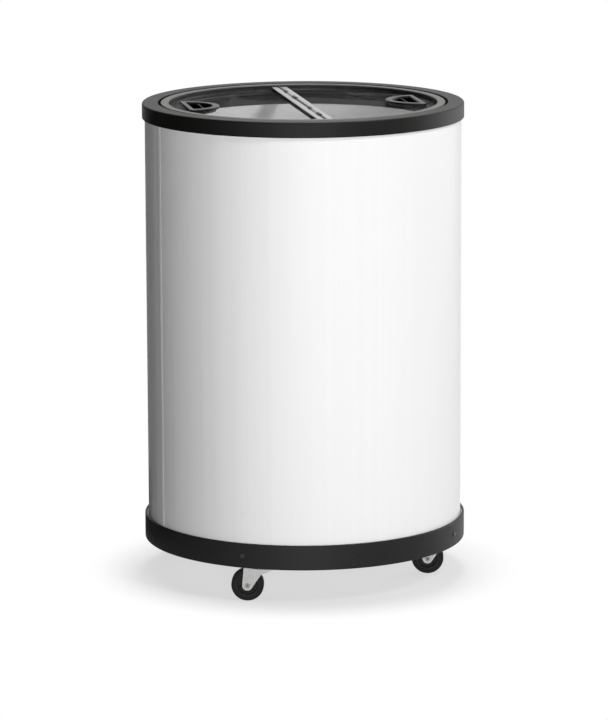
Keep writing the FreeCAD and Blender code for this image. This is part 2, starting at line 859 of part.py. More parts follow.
def top_collar():
    """Moulded rim: skirt over the wrap, flat top and a sunk seat for the lid frame."""
    wall = collar_mouth_r + COLLAR_T
    return revolved([
        (nest_r, collar_z, 0),
        (collar_r, collar_z, COLLAR_LIP_R),
        (collar_r, collar_top, COLLAR_EDGE_R),
        (collar_mouth_r, collar_top, COLLAR_LIP_R),
        (collar_mouth_r, collar_seat, 0),
        (throat_r, collar_seat, 0),
        (throat_r, collar_seat_z, 0),
        (wall, collar_seat_z, 0),
        (wall, collar_top - COLLAR_T, 0),
        (nest_r, collar_top - COLLAR_T, 0),
    ])


# Lid frame, hinge and leaves
def lid_frame():
    """Ring that drops into the collar, with a ledge for the leaves and sockets for the hinge pin."""
    frame = revolved([
        (ledge_r, collar_seat, 0),
        (lid_frame_r, collar_seat, 0),
        (lid_frame_r, lid_frame_top, LID_FRAME_EDGE_R),
        (lid_opening_r, lid_frame_top, LID_FRAME_EDGE_R),
        (lid_opening_r, ledge_top, 0),
        (ledge_r, ledge_top, LEDGE_EDGE_R),
    ])
    reach = lid_opening_r + PIN_SEAT_DEPTH
    axis = UP * hinge_z
    return frame.cut(rod(PIN_R + RUN_FIT, axis - BACK * reach, axis + BACK * reach))


def lid_gasket():
    """Flat seal on the ledge under the leaves, with a bar across it that closes the gap under the hinge."""
    inner, outer = ledge_r + GASKET_INSET, lid_opening_r - GASKET_INSET
    seal = revolved([
        (inner, ledge_top, 0),
        (outer, ledge_top, 0),
        (outer, glass_z, GASKET_EDGE_R),
        (inner, glass_z, GASKET_EDGE_R),
    ])
    reach = (inner + outer) / 2
    height = hinge_z - KNUCKLE_R - SWING_GAP - ledge_top
    bar = Part.makeBox(GASKET_BAR_W, 2 * reach, height, V(-GASKET_BAR_W / 2, -reach, ledge_top))
    edges = [e for e in bar.Edges if e.BoundBox.ZMin > ledge_top + height / 2 and e.BoundBox.YLength > reach]
    return fused(seal, bar.makeFillet(GASKET_EDGE_R, edges))


def hinge_pin():
    """Rod that both leaves turn on."""
    reach = lid_opening_r + PIN_SEAT_DEPTH - PIN_END_GAP
    return rod(PIN_R, UP * hinge_z - BACK * reach, UP * hinge_z + BACK * reach)


def hinge_stations():
    """Stretches along the hinge: the right rail's knuckles with a left bush at each end, (owner, start, end)."""
    stretches = []
    for group in (-HINGE_GROUP_Y, HINGE_GROUP_Y):
        stretches.append(("right", group - KNUCKLE_LENGTH / 2, group + KNUCKLE_LENGTH / 2))
        for side in (-1, 1):
            near = group + side * (KNUCKLE_LENGTH / 2 + KNUCKLE_END_GAP)
            far = near + side * BUSH_LENGTH
            stretches.append(("left", min(near, far), max(near, far)))
    return stretches


def knuckle(side, start, end, root):
    """Barrel round the pin with a flat leaf out to a root, not yet bored."""
    barrel = rod(KNUCKLE_R, V(0, start, hinge_z), V(0, end, hinge_z))
    low = hinge_z - KNUCKLE_LEAF_T
    leaf = [
        (0, hinge_z, 0),
        (0, low, 0),
        (side * root, low, 0),
        (side * root, hinge_z, 0),
    ]
    return fused(barrel, moved(prism(leaf, radial_plane, BACK * (end - start)), BACK * start))


def hinge_bore():
    """Running bore for the pin, the whole length of the leaves."""
    return rod(PIN_R + RUN_FIT, V(0, -leaf_r, hinge_z), V(0, leaf_r, hinge_z))


def hinge_bushes():
    """Moulded knuckles of the left leaf, each with a tongue that sits in a notch of the rail."""
    root = rail_inner + RAIL_WEB_T - SEAT_GAP
    bushes = [knuckle(-1, start, end, root) for owner, start, end in hinge_stations() if owner == "left"]
    return Part.makeCompound([bush.cut(hinge_bore()) for bush in bushes])


def edge_rail(owner):
    """Channel that grips a leaf's straight edge, the right one with knuckles, the left one with notches."""
    side = -1 if owner == "left" else 1
    foot_z = glass_z - RAIL_FOOT_T
    channel = [
        (side * rail_inner, hinge_z, 0),
        (side * rail_inner, foot_z, 0),
        (side * rail_outer, foot_z, 0),
        (side * rail_outer, glass_z, 0),
        (side * (rail_inner + RAIL_WEB_T), glass_z, 0),
        (side * (rail_inner + RAIL_WEB_T), glass_top, 0),
        (side * rail_outer, glass_top, 0),
        (side * rail_outer, hinge_z, RAIL_EDGE_R),
    ]
    body = moved(prism(channel, radial_plane, BACK * (2 * rail_foot_half)), BACK * -rail_foot_half)
    strip = [
        (side * rail_inner, hinge_z, 0),
        (side * rail_inner, glass_top, 0),
        (side * rail_outer, glass_top, 0),
        (side * rail_outer, hinge_z, RAIL_EDGE_R),
    ]
    top = moved(prism(strip, radial_plane, BACK * (2 * leaf_r)), BACK * -leaf_r)
    top = top.common(ring(0, leaf_r, glass_top, hinge_z))
    rail = fused(body, top)
    for station, start, end in hinge_stations():
        if owner == "right" and station == "right":
            rail = fused(rail, knuckle(side, start, end, rail_inner + RAIL_WEB_T / 2))
        if owner == "left" and station == "left":
            low = V(-rail_inner - RAIL_WEB_T, start - SEAT_GAP, hinge_z - KNUCKLE_LEAF_T)
            rail = rail.cut(Part.makeBox(
                RAIL_WEB_T + OVERCUT, end - start + 2 * SEAT_GAP, KNUCKLE_LEAF_T + OVERCUT, low))
    return rail.cut(hinge_bore())


def half_round(side_inset, arc_inset, low, high):
    """Prism on the left grip's outline, drawn in from its straight side and from its arc."""
    radius = GRIP_R - arc_inset
    half = math.sqrt(radius ** 2 - side_inset ** 2)
    side = side_inset - grip_side_x
    ends = [V(side, half, low), V(side, -half, low)]
    arc = Part.Arc(ends[0], V(radius - grip_side_x, 0, low), ends[1]).toShape()
    solid = Part.Face(Part.Wire([arc, Part.makeLine(ends[1], ends[0])])).extrude(UP * (high - low))
    corners = [e for e in solid.Edges if abs(e.tangentAt(e.FirstParameter).z) > 0.99]
    return solid.makeFillet(GRIP_CORNER_R - side_inset * 0.3, corners)


def left_glass():
    """Half-round pane with the opening for the grip."""
    disc = ring(0, leaf_r, glass_z, glass_top)
    side = Part.makeBox(leaf_r, 2 * leaf_r, GLASS_T, V(-glass_edge - leaf_r, -leaf_r, glass_z))
    pane = disc.common(side)
    return pane.cut(half_round(GRIP_LAP, GRIP_LAP, glass_z, glass_top))


def left_grip():
    """Half-round finger cup with a raised rim on the glass and a rib across it."""
    rim_top = glass_top + GRIP_RIM_H
    floor = rim_top - GRIP_DEPTH
    lap = GRIP_LAP + SEAT_GAP
    rim = half_round(0, 0, glass_top, rim_top)
    edges = [e for e in rim.Edges if e.BoundBox.ZMin > rim_top - 1e-3]
    rim = rim.makeFillet(GRIP_RIM_EDGE_R, edges)
    cup = half_round(lap, lap, floor - GRIP_FLOOR_T, glass_top)
    hollow = half_round(GRIP_RIM_W, GRIP_RIM_ARC_W, floor, rim_top)
    rib = Part.makeBox(GRIP_RIB_T, GRIP_RIB_LENGTH, GRIP_RIB_H)
    rib_x = GRIP_RIM_W + GRIP_RIB_INSET - grip_side_x
    rib = moved(rib, V(rib_x, -GRIP_RIB_LENGTH / 2, floor))
    return fused(fused(rim, cup).cut(hollow), rib)


def mirrored(shape):
    """The same piece for the right leaf."""
    return shape.mirror(ORIGIN, ACROSS)


# Rear grille, thermostat and cable gland, made at the front and turned to the back
def to_rear(shape):
    """Piece made at the front, turned to the grille's bearing."""
    return turned(shape, GRILLE_BEARING)


def grille_screw_spots():
    """Bearing and height of the grille's screws."""
    low, high = grille_z + GRILLE_LAP / 2, grille_top - GRILLE_LAP / 2
    swing = GRILLE_HALF_ANGLE - 2 * GRILLE_LAP_ANGLE
    return [(GRILLE_BEARING + side * swing, z) for side in (-1, 1) for z in (low, high)]


def grille_screw_holes():
    """Radial clearance holes for the grille's screws."""
    inner, outer = BODY_R - 2 * WRAP_T, grille_r + GRILLE_T + OVERCUT
    hole_r = GRILLE_SCREW_R + SEAT_GAP
    return [rod(hole_r, bearing(inner, b, z), bearing(outer, b, z)) for b, z in grille_screw_spots()]


def grille_slot_rows():
    """Lower edge of each row of slots, spread over the height of the grille."""
    pitch = (grille_top - grille_z - 2 * GRILLE_SLOT_MARGIN) / GRILLE_SLOT_ROWS
    first = grille_z + GRILLE_SLOT_MARGIN + (pitch - GRILLE_SLOT_H) / 2
    return [first + k * pitch for k in range(GRILLE_SLOT_ROWS)]


def rear_grille():
    """Curved cover with rows of hooded slots, a sunk dial cup and the gland's hole."""
    outer = grille_r + GRILLE_T
    panel = curved_plate(
        grille_r, outer, grille_z, grille_top, -GRILLE_HALF_ANGLE, GRILLE_HALF_ANGLE
    )
    corners = [e for e in panel.Edges if abs(e.Length - GRILLE_T) < 1e-3]
    panel = panel.makeFillet(GRILLE_CORNER_R, corners)
    cup_front = dial_face() + DIAL_CUP_DEPTH
    rear_face = dial_face() - DIAL_CUP_T
    cup = rod(DIAL_CUP_R + DIAL_CUP_T, V(0, -rear_face, dial_z), V(0, -cup_front, dial_z))
    cup = cup.common(ring(0, outer, grille_z, grille_top))
    slots = []
    hoods = []
    for z in grille_slot_rows():
        for side in (-1, 1):
            first = side * GRILLE_SLOT_START
            last = side * (GRILLE_SLOT_START + GRILLE_SLOT_SWEEP)
            span = (min(first, last), max(first, last))
            slots.append(curved_plate(grille_r - OVERCUT, outer + OVERCUT, z, z + GRILLE_SLOT_H, *span))
            top = z + GRILLE_SLOT_H
            hood = swept([
                (grille_r, top, 0),
                (outer, top - GRILLE_HOOD_T / 2, 0),
                (outer + GRILLE_HOOD_REACH, top - GRILLE_SLOT_H / 2, 0),
                (outer + GRILLE_HOOD_REACH, top - GRILLE_SLOT_H / 2 + GRILLE_HOOD_T, 0),
                (outer, top + GRILLE_HOOD_T, 0),
                (grille_r, top + GRILLE_HOOD_T, 0),
            ], *span)
            hoods.append(hood)
    cover = fused(panel, cup).cut(slots)
    cover = fused(cover, *hoods)
    cuts = [
        rod(DIAL_CUP_R, V(0, -dial_face(), dial_z), V(0, -cup_front - outer, dial_z)),
        rod(KNOB_SHAFT_R + SWING_GAP, V(0, -rear_face + OVERCUT, dial_z), V(0, -cup_front, dial_z)),
        rod(GLAND_R + SEAT_GAP, V(0, -grille_r + GLAND_LENGTH, gland_z), V(0, -outer - OVERCUT, gland_z)),
    ]
    return to_rear(cover.cut(cuts)).cut(grille_screw_holes())


def dial_face():
    """Distance from the axis to the floor of the dial cup."""
    return grille_r + GRILLE_T - DIAL_CUP_DEPTH


def grille_screws():
    """Pan-head screws that hold the grille to the wrap."""
    length = GRILLE_T + GRILLE_SCREW_REACH
    screw = pan_screw(GRILLE_SCREW_R, GRILLE_SCREW_HEAD_R, GRILLE_SCREW_HEAD_T, length)
    seat = grille_r + GRILLE_T
    return Part.makeCompound([
        aimed(screw, bearing(1, b), bearing(seat, b, z)) for b, z in grille_screw_spots()
    ])


def thermostat_body():
    """Control housing behind the dial cup."""
    front = dial_face() - DIAL_CUP_T
    u, v = THERMOSTAT_W / 2, THERMOSTAT_H / 2
    r = THERMOSTAT_EDGE_R
    corners = [(-u, -v, r), (u, -v, r), (u, v, r), (-u, v, r)]
    box = prism(corners, radial_plane, BACK * THERMOSTAT_D)
    box = moved(box, V(0, -front, dial_z))
    socket = rod(
        KNOB_SHAFT_R + RUN_FIT,
        V(0, -front, dial_z),
        V(0, -front + KNOB_SHAFT_L, dial_z),
    )
    return to_rear(box.cut(socket))


def thermostat_knob():
    """Fluted dial knob on its shaft, with a raised pointer."""
    seat = dial_face() + SWING_GAP
    waist = KNOB_R - KNOB_SKIRT_W
    top_r = waist - KNOB_TAPER
    body = revolved([
        (0, 0, 0),
        (KNOB_R, 0, 0),
        (KNOB_R, KNOB_SKIRT_H, KNOB_SKIRT_EDGE_R),
        (waist, KNOB_SKIRT_H + KNOB_SKIRT_RISE, KNOB_SKIRT_EDGE_R),
        (top_r, KNOB_H, KNOB_EDGE_R),
        (0, KNOB_H, 0),
    ])
    flute_x = waist + KNOB_GRIP_R - KNOB_TAPER
    flute = rod(KNOB_GRIP_R, V(flute_x, 0, KNOB_H - KNOB_GRIP_H), V(flute_x, 0, KNOB_H + OVERCUT))
    flutes = [turned(flute, k * 360 / KNOB_GRIP_COUNT) for k in range(KNOB_GRIP_COUNT)]
    reach = top_r - KNOB_EDGE_R
    tip_r = KNOB_POINTER_W * 0.4
    pointer = rounded_plate(KNOB_POINTER_W, reach, tip_r, KNOB_H - KNOB_POINTER_H, KNOB_H + KNOB_POINTER_H)
    pointer = moved(pointer, BACK * (reach / 2))
    depth = seat - dial_face() + DIAL_CUP_T + KNOB_SHAFT_L - OVERCUT
    shaft = rod(KNOB_SHAFT_R, UP * -depth, ORIGIN)
    knob = fused(body.cut(flutes), pointer, shaft)
    return to_rear(aimed(knob, -BACK, V(0, -seat, dial_z)))


def cable_gland():
    """Grommet-type cable entry, open through the middle."""
    seat = grille_r + GRILLE_T + SEAT_GAP
    inner = grille_r - SEAT_GAP
    gland = revolved([
        (GLAND_BORE_R, seat - GLAND_LENGTH, 0),
        (GLAND_R, seat - GLAND_LENGTH, GLAND_EDGE_R),
        (GLAND_R, inner - GLAND_NUT_T, 0),
        (GLAND_FLANGE_R, inner - GLAND_NUT_T, 0),
        (GLAND_FLANGE_R, inner - GLAND_NUT_GAP, GLAND_EDGE_R),
        (GLAND_R, inner - GLAND_NUT_GAP, 0),
        (GLAND_R, seat, 0),
        (GLAND_FLANGE_R, seat, 0),
        (GLAND_FLANGE_R, seat + GLAND_FLANGE_T, GLAND_EDGE_R),
        (GLAND_BORE_R, seat + GLAND_FLANGE_T, GLAND_EDGE_R),
    ])
    return to_rear(aimed(gland, -BACK, UP * gland_z))


# Compressor
def oval(half_w, half_l, low, high):
    """Upright prism on an ellipse about the compressor's axis."""
    centre = V(compressor_x, 0, low)
    ellipse = Part.Ellipse(centre + BACK * half_l, centre + ACROSS * half_w, centre)
    return Part.Face(Part.Wire(ellipse.toShape())).extrude(UP * (high - low))


def rim_edges(shape, z):
    """Edges of a shape that lie at one height."""
    return [e for e in shape.Edges if abs(e.BoundBox.ZMin - z) < 1e-3 and abs(e.BoundBox.ZMax - z) < 1e-3]


def shell_levels():
    """Bottom, weld line and top of the compressor's shell."""
    low = tray_top + GROMMET_BELOW
    return low, low + COMPRESSOR_LOWER_H, low + COMPRESSOR_LOWER_H + COMPRESSOR_UPPER_H


def compressor_shell():
    """Welded oval shell with its feet and its two tube stubs."""
    low, weld, top = shell_levels()
    lower = oval(COMPRESSOR_HALF_W, COMPRESSOR_HALF_L, low, weld)
    lower = lower.makeFillet(COMPRESSOR_FLOOR_R, rim_edges(lower, low))
    upper = oval(COMPRESSOR_HALF_W - COMPRESSOR_STEP, COMPRESSOR_HALF_L - COMPRESSOR_STEP, weld, top)
    upper = upper.makeFillet(COMPRESSOR_DOME_R, rim_edges(upper, top))
    foot = rounded_plate(FOOT_SPACING_X + 2 * FOOT_END_R, FOOT_W, FOOT_END_R, low, low + FOOT_T)
    hole_r = GROMMET_NECK_R + SEAT_GAP
    feet = [moved(foot, V(compressor_x, side * FOOT_SPACING_Y / 2, 0)) for side in (-1, 1)]
    stub_z = top - STUB_DROP
    reach = COMPRESSOR_HALF_L + STUB_REACH
    stub = rod(STUB_R, V(compressor_x, -reach, stub_z), V(compressor_x, reach, stub_z))
    holes = [rod(hole_r, p + UP * low, p + UP * (low + FOOT_T)) for p in foot_spots()]
    floor_cut = [rod(GROMMET_R + SEAT_GAP, p + UP * (low + FOOT_T), p + UP * weld) for p in foot_spots()]
    shell = fused(lower, upper, stub).cut(floor_cut)
    return fused(shell, *feet).cut(holes)


def compressor_grommets():
    """Waisted rubber mounts under the compressor's feet."""
    low, _, _ = shell_levels()
    grommet = revolved([
        (GROMMET_BORE_R, tray_top, 0),
        (GROMMET_R, tray_top, GROMMET_EDGE_R),
        (GROMMET_R, low, 0),
        (GROMMET_NECK_R, low, 0),
        (GROMMET_NECK_R, low + FOOT_T, 0),
        (GROMMET_R - GROMMET_TOP_STEP, low + FOOT_T, 0),
        (GROMMET_R - GROMMET_TOP_STEP, low + FOOT_T + GROMMET_ABOVE, GROMMET_EDGE_R),
        (GROMMET_BORE_R, low + FOOT_T + GROMMET_ABOVE, 0),
    ])
    return Part.makeCompound([moved(grommet, p) for p in foot_spots()])


def terminal_cover():
    """Relay cover clipped to the side of the compressor's shell."""
    low, weld, _ = shell_levels()
    z = (low + weld) / 2 - TERMINAL_H / 2 + COMPRESSOR_FLOOR_R / 2
    depth = COMPRESSOR_HALF_W + TERMINAL_D
    u, v = TERMINAL_W / 2, TERMINAL_H / 2
    r = TERMINAL_EDGE_R
    corners = [(-u, -v, r), (u, -v, r), (u, v, r), (-u, v, r)]
    block = Part.Face(outline(corners, lambda y, h: V(compressor_x, y, h + z + v))).extrude(ACROSS * depth)
    edges = [e for e in block.Edges if e.BoundBox.XMin > compressor_x + depth - 1e-3]
    block = block.makeFillet(r * 0.6, edges)
    gap = SEAT_GAP
    return block.cut(oval(COMPRESSOR_HALF_W + gap, COMPRESSOR_HALF_L + gap, low - gap, weld + TERMINAL_H))


# Condenser and fan
def coil_heights():
    """Heights of the condenser's straight tube runs."""
    middle = tray_top + CONDENSER_LIFT + CONDENSER_H / 2
    return [middle + (k - (COIL_RUNS - 1) / 2) * COIL_PITCH for k in range(COIL_RUNS)]


def condenser_fins():
    """Fin plates and the two end plates that stand on the tray."""
    holes = [
        rod(COIL_TUBE_R + SEAT_GAP, V(condenser_x, -CONDENSER_L, z), V(condenser_x, CONDENSER_L, z))
        for z in coil_heights()
    ]
    low = tray_top + CONDENSER_LIFT
    corner = V(condenser_x - CONDENSER_D / 2, 0, low)
    fin = Part.makeBox(CONDENSER_D, FIN_T, CONDENSER_H, corner).cut(holes)
    foot = V(corner.x, 0, tray_top)
    end = Part.makeBox(CONDENSER_D, END_PLATE_T, CONDENSER_H + CONDENSER_LIFT, foot).cut(holes)
    pitch = CONDENSER_L / (FIN_COUNT + 1)
    pieces = [moved(fin, BACK * (-CONDENSER_L / 2 + (k + 1) * pitch)) for k in range(FIN_COUNT)]
    pieces.append(moved(end, BACK * (-CONDENSER_L / 2)))
    pieces.append(moved(end, BACK * (CONDENSER_L / 2)))
    return Part.makeCompound(pieces)


def condenser_coil():
    """Serpentine tube through the fins, both its ends towards the back."""
    half = coil_end()
    heights = coil_heights()
    edges = []
    for k, z in enumerate(heights):
        side = 1 if k % 2 == 0 else -1
        near, far = V(condenser_x, side * half, z), V(condenser_x, -side * half, z)
        edges.append(Part.makeLine(near, far))
        if k + 1 < len(heights):
            top = V(far.x, far.y, z + COIL_PITCH)
            crest = V(far.x, far.y - side * COIL_PITCH / 2, z + COIL_PITCH / 2)
            edges.append(Part.Arc(far, crest, top).toShape())
    start = V(condenser_x, half, heights[0])
    section = Part.Wire(Part.makeCircle(COIL_TUBE_R, start, BACK))
    return Part.Wire(edges).makePipeShell([section], True, False)


def fan_plane():
    """X of the shroud plate's back and of the fan's centre, with the fan's height."""
    plate = condenser_x + CONDENSER_D / 2 + SHROUD_GAP
    return plate, plate + SHROUD_LIP / 2, tray_top + SHROUD_SIDE / 2


def motor_face():
    """X of the motor's fan side."""
    plate, middle, height = fan_plane()
    return middle + FAN_HUB_L / 2 + MOTOR_GAP


def fan_shroud():
    """Shroud plate on the tray with a rolled inlet and arms that carry the motor."""
    plate_x, middle, height = fan_plane()
    half = SHROUD_SIDE / 2
    mouth = FAN_R + FAN_TIP_GAP
    sheet = Part.makeBox(SHROUD_T, SHROUD_SIDE, SHROUD_SIDE, V(plate_x, -half, tray_top))
    collar = aimed(ring(mouth, mouth + SHROUD_T, 0, SHROUD_LIP), ACROSS, V(plate_x, 0, height))
    arm_x = motor_face() + MOTOR_L
    hoop = ring(MOTOR_R - ARM_RING_W, MOTOR_R + ARM_RING_W, 0, ARM_T)
    hoop = aimed(hoop, ACROSS, V(arm_x, 0, height))
    reach = mouth + SHROUD_T / 2
    arms = []
    for k in range(ARM_COUNT):
        spoke = Part.makeBox(ARM_T, ARM_W, reach - MOTOR_R, V(arm_x, -ARM_W / 2, MOTOR_R))
        strut = Part.makeBox(arm_x + ARM_T - plate_x, ARM_W, ARM_T, V(plate_x, -ARM_W / 2, reach))
        arm = turned(fused(spoke, strut), 45 + k * 360 / ARM_COUNT, ORIGIN, ACROSS)
        arms.append(moved(arm, UP * height))
    opening = rod(mouth, V(plate_x - OVERCUT, 0, height), V(plate_x + SHROUD_LIP, 0, height))
    return fused(fused(sheet, collar).cut(opening), hoop, *arms)


def fan_motor():
    """Round motor seated on the shroud's arms."""
    face = motor_face()
    motor = revolved([
        (0, 0, 0),
        (MOTOR_R, 0, MOTOR_EDGE_R),
        (MOTOR_R, MOTOR_L, 0),
        (0, MOTOR_L, 0),
    ])
    plate, middle, height = fan_plane()
    motor = aimed(motor, ACROSS, V(face, 0, height))
    socket = rod(FAN_SHAFT_R + RUN_FIT, V(face, 0, height), V(face + FAN_SHAFT_L + OVERCUT, 0, height))
    return motor.cut(socket)


def fan_blades():
    """Axial fan wheel with twisted blades, on its shaft."""
    plate, middle, height = fan_plane()
    hub = revolved([
        (0, -FAN_HUB_L / 2, 0),
        (FAN_HUB_R, -FAN_HUB_L / 2, FAN_HUB_EDGE_R),
        (FAN_HUB_R, FAN_HUB_L / 2, 0),
        (0, FAN_HUB_L / 2, 0),
    ])

    def section(radius, pitch, chord):
        angle = math.radians(pitch)
        along = V(0, math.cos(angle), math.sin(angle)) * (chord / 2)
        thick = V(0, -math.sin(angle), math.cos(angle)) * (FAN_BLADE_T / 2)
        base = V(radius, 0, 0)
        points = [base - along - thick, base + along - thick, base + along + thick, base - along + thick]
        return Part.makePolygon(points + points[:1])

    root = section(FAN_ROOT_R, FAN_ROOT_PITCH, FAN_ROOT_CHORD)
    tip = section(FAN_R, FAN_TIP_PITCH, FAN_CHORD)
    blade = Part.makeLoft([root, tip], True, True)
    blade = blade.common(ring(0, FAN_R, -FAN_HUB_L / 2, FAN_HUB_L / 2))
    blades = [turned(blade, k * 360 / FAN_BLADE_COUNT) for k in range(FAN_BLADE_COUNT)]
    shaft = rod(FAN_SHAFT_R, ORIGIN, UP * (FAN_HUB_L / 2 + MOTOR_GAP + FAN_SHAFT_L))
    return aimed(fused(hub, shaft, *blades), ACROSS, V(middle, 0, height))


# Refrigerant lines
def coil_end():
    """Y of the condenser tube's two open ends."""
    return CONDENSER_L / 2 + COIL_END


def stub_point(side):
    """Centre of the open end of one compressor stub."""
    _, _, top = shell_levels()
    return V(compressor_x, side * (COMPRESSOR_HALF_L + STUB_REACH), top - STUB_DROP)


def line_lane():
    """Y of the discharge line's long run behind the condenser and the compressor."""
    return max(stub_point(1).y, coil_end()) + LINE_SIDE


def discharge_points():
    """Route from the compressor to the upper end of the condenser."""
    start = stub_point(1)
    end = V(condenser_x, coil_end(), coil_heights()[-1])
    return [start, V(start.x, line_lane(), start.z), V(end.x, line_lane(), end.z), end]


def suction_points():
    """Route from the compressor up through the deck."""
    start = stub_point(-1)
    corner = start - BACK * LINE_SIDE
    return [start, corner, V(corner.x, corner.y, deck_top)]


def drier_base():
    """Lower end of the filter drier."""
    lane = line_lane() + LINE_R + LINE_CLEARANCE + DRIER_R
    return V(condenser_x, lane, coil_heights()[0] + DRIER_RISE)


def liquid_points():
    """Route from the lower end of the condenser into the drier."""
    start = V(condenser_x, coil_end(), coil_heights()[0])
    end = drier_base()
    return [start, V(end.x, end.y, start.z), end]


def capillary_points():
    """Route from the drier up through the deck."""
    top = drier_base() + UP * (DRIER_L + 2 * DRIER_NECK_L)
    return [top, V(top.x, top.y, deck_top)]


def filter_drier():
    """Spun copper drier with tapered ends."""
    profile = [
        (0, 0, 0),
        (DRIER_NECK_R, 0, 0),
        (DRIER_R, DRIER_NECK_L, DRIER_EDGE_R),
        (DRIER_R, DRIER_NECK_L + DRIER_L, DRIER_EDGE_R),
        (DRIER_NECK_R, 2 * DRIER_NECK_L + DRIER_L, 0),
        (0, 2 * DRIER_NECK_L + DRIER_L, 0),
    ]
    return moved(revolved(profile), drier_base())


nodes = {
    "base_tray": base_tray(),
    "base_ring": base_ring(),
    "base_ring_screws": base_ring_screws(),
    "machine_deck": machine_deck(),
    "deck_posts": deck_posts(),
    "outer_wrap": outer_wrap(),
    "insulation_foam": insulation_foam(),
    "tank_liner": tank_liner(),
    "evaporator_jacket": evaporator_jacket(),
    "throat_ring": throat_ring(),
    "top_collar": top_collar(),
    "lid_frame": lid_frame(),
    "lid_gasket": lid_gasket(),
    "hinge_pin": hinge_pin(),
    "hinge_bushes": hinge_bushes(),
    "left_edge_rail": edge_rail("left"),
    "right_edge_rail": edge_rail("right"),
    "left_glass": left_glass(),
    "right_glass": mirrored(left_glass()),
    "left_grip": left_grip(),
    "right_grip": mirrored(left_grip()),
    "rear_grille": rear_grille(),
    "grille_screws": grille_screws(),
    "thermostat_body": thermostat_body(),
    "thermostat_knob": thermostat_knob(),
    "cable_gland": cable_gland(),
    "compressor_shell": compressor_shell(),
    "compressor_grommets": compressor_grommets(),
    "terminal_cover": terminal_cover(),
    "condenser_fins": condenser_fins(),
    "condenser_coil": condenser_coil(),
    "fan_shroud": fan_shroud(),
    "fan_motor": fan_motor(),
    "fan_blades": fan_blades(),
    "discharge_line": pipe(discharge_points(), LINE_R, LINE_BEND_R),
    "suction_line": pipe(suction_points(), LINE_R, LINE_BEND_R),
    "liquid_line": pipe(liquid_points(), LINE_R, LINE_BEND_R),
    "filter_drier": filter_drier(),
    "capillary_tube": rod(CAPILLARY_R, *capillary_points()),
    "caster_bolts": caster_bolts(),
}
for number, (spot, heading) in enumerate(zip(CASTER_BEARINGS, CASTER_HEADINGS), 1):
    nodes[f"caster_plate_{number}"] = at_caster(caster_plate(), spot, spot)
    nodes[f"caster_fork_{number}"] = at_caster(caster_fork(), spot, heading)
    nodes[f"caster_axle_{number}"] = at_caster(caster_axle(), spot, heading)
    nodes[f"caster_hub_{number}"] = at_caster(caster_hub(), spot, heading)
    nodes[f"caster_tyre_{number}"] = at_caster(caster_tyre(), spot, heading)

for name, shape in nodes.items():
    shape.exportStep(f"parts/{name}.step")
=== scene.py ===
import json
import math

import bmesh
import bpy
from bpy.props import FloatProperty, FloatVectorProperty, IntProperty, PointerProperty
from bpy.types import Operator, Panel, PropertyGroup
from mathutils import Matrix, Vector


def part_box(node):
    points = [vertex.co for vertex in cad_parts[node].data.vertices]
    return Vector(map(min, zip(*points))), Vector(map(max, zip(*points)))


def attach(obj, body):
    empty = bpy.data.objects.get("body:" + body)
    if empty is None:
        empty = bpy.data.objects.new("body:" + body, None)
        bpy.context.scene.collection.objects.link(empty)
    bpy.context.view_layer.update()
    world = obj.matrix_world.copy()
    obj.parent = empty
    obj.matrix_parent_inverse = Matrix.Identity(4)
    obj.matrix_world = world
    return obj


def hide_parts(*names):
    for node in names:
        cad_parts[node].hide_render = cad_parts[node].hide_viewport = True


bl_info = {
    "name": "Round Freezer",
    "version": (1, 0, 0),
    "blender": (4, 5, 0),
    "location": "3D View > Sidebar > Freezer",
    "description": "Dresses the round freezer's frame with modelled pieces, finishes and a studio",
    "category": "Object",
}

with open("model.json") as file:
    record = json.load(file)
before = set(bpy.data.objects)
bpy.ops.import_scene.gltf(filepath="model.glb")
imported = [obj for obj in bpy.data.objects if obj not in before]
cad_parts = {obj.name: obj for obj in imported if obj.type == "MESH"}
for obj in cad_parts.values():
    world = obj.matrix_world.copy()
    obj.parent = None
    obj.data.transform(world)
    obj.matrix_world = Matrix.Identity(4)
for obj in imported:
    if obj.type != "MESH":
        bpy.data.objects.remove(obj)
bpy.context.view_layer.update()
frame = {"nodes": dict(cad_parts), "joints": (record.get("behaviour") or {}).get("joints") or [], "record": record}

# Metres and radians. A bearing is an angle about Z that starts at the front, -Y, and grows towards +X.
ORIGIN = Vector((0, 0, 0))
UP = Vector((0, 0, 1))
TINY = 1e-5
SMOOTH_ANGLE = math.radians(35)
IMAGE_HEIGHT = 720
WHITE = (1, 1, 1, 1)
SIDES = ("left", "right")

# Segments along curves
LAP_STEPS = 4
CUP_STEPS = 60
CORNER_STEPS = 5
FLOOR_STEPS = 96
# Least rise of a face's normal at which the face counts as level
LEVEL_RISE = 0.9
# Share of a cup's inset that its corner rounding loses
CORNER_FALL = 0.3

# Lamps: turn from the camera in degrees, distance from the cabinet's axis, height and side
LAMPS = {
    "key": (3, 4.4, 0.5, 1.6),
    "side": (118, 3.6, 1.0, 2.4),
    "high": (45, 4.0, 4.4, 1.3),
    "back": (168, 1.1, 3.6, 0.9),
}
LAMP_AIM = Vector((0, 0, 0.5))

# Black card: turn from the camera, distance from the axis, sizes of upright and floor leaf, upright's lift
CARD_TURN = math.radians(-95)
CARD_DISTANCE = 0.75
CARD_SIZE = Vector((0.02, 1.5, 2.6))
CARD_LEAF = Vector((0.34, 1.5, 0.004))
CARD_LIFT = 0.01


# Sizes and colours that a user may change
def length(label, text, default):
    """Property for a size in metres."""
    return FloatProperty(name=label, description=text, default=default, unit="LENGTH", precision=4)


def angle(label, text, degrees):
    """Property for an angle, given in degrees."""
    return FloatProperty(name=label, description=text, default=math.radians(degrees), unit="ROTATION")


def count(label, text, default):
    """Property for a number of segments or ribs."""
    return IntProperty(name=label, description=text, default=default, min=3)


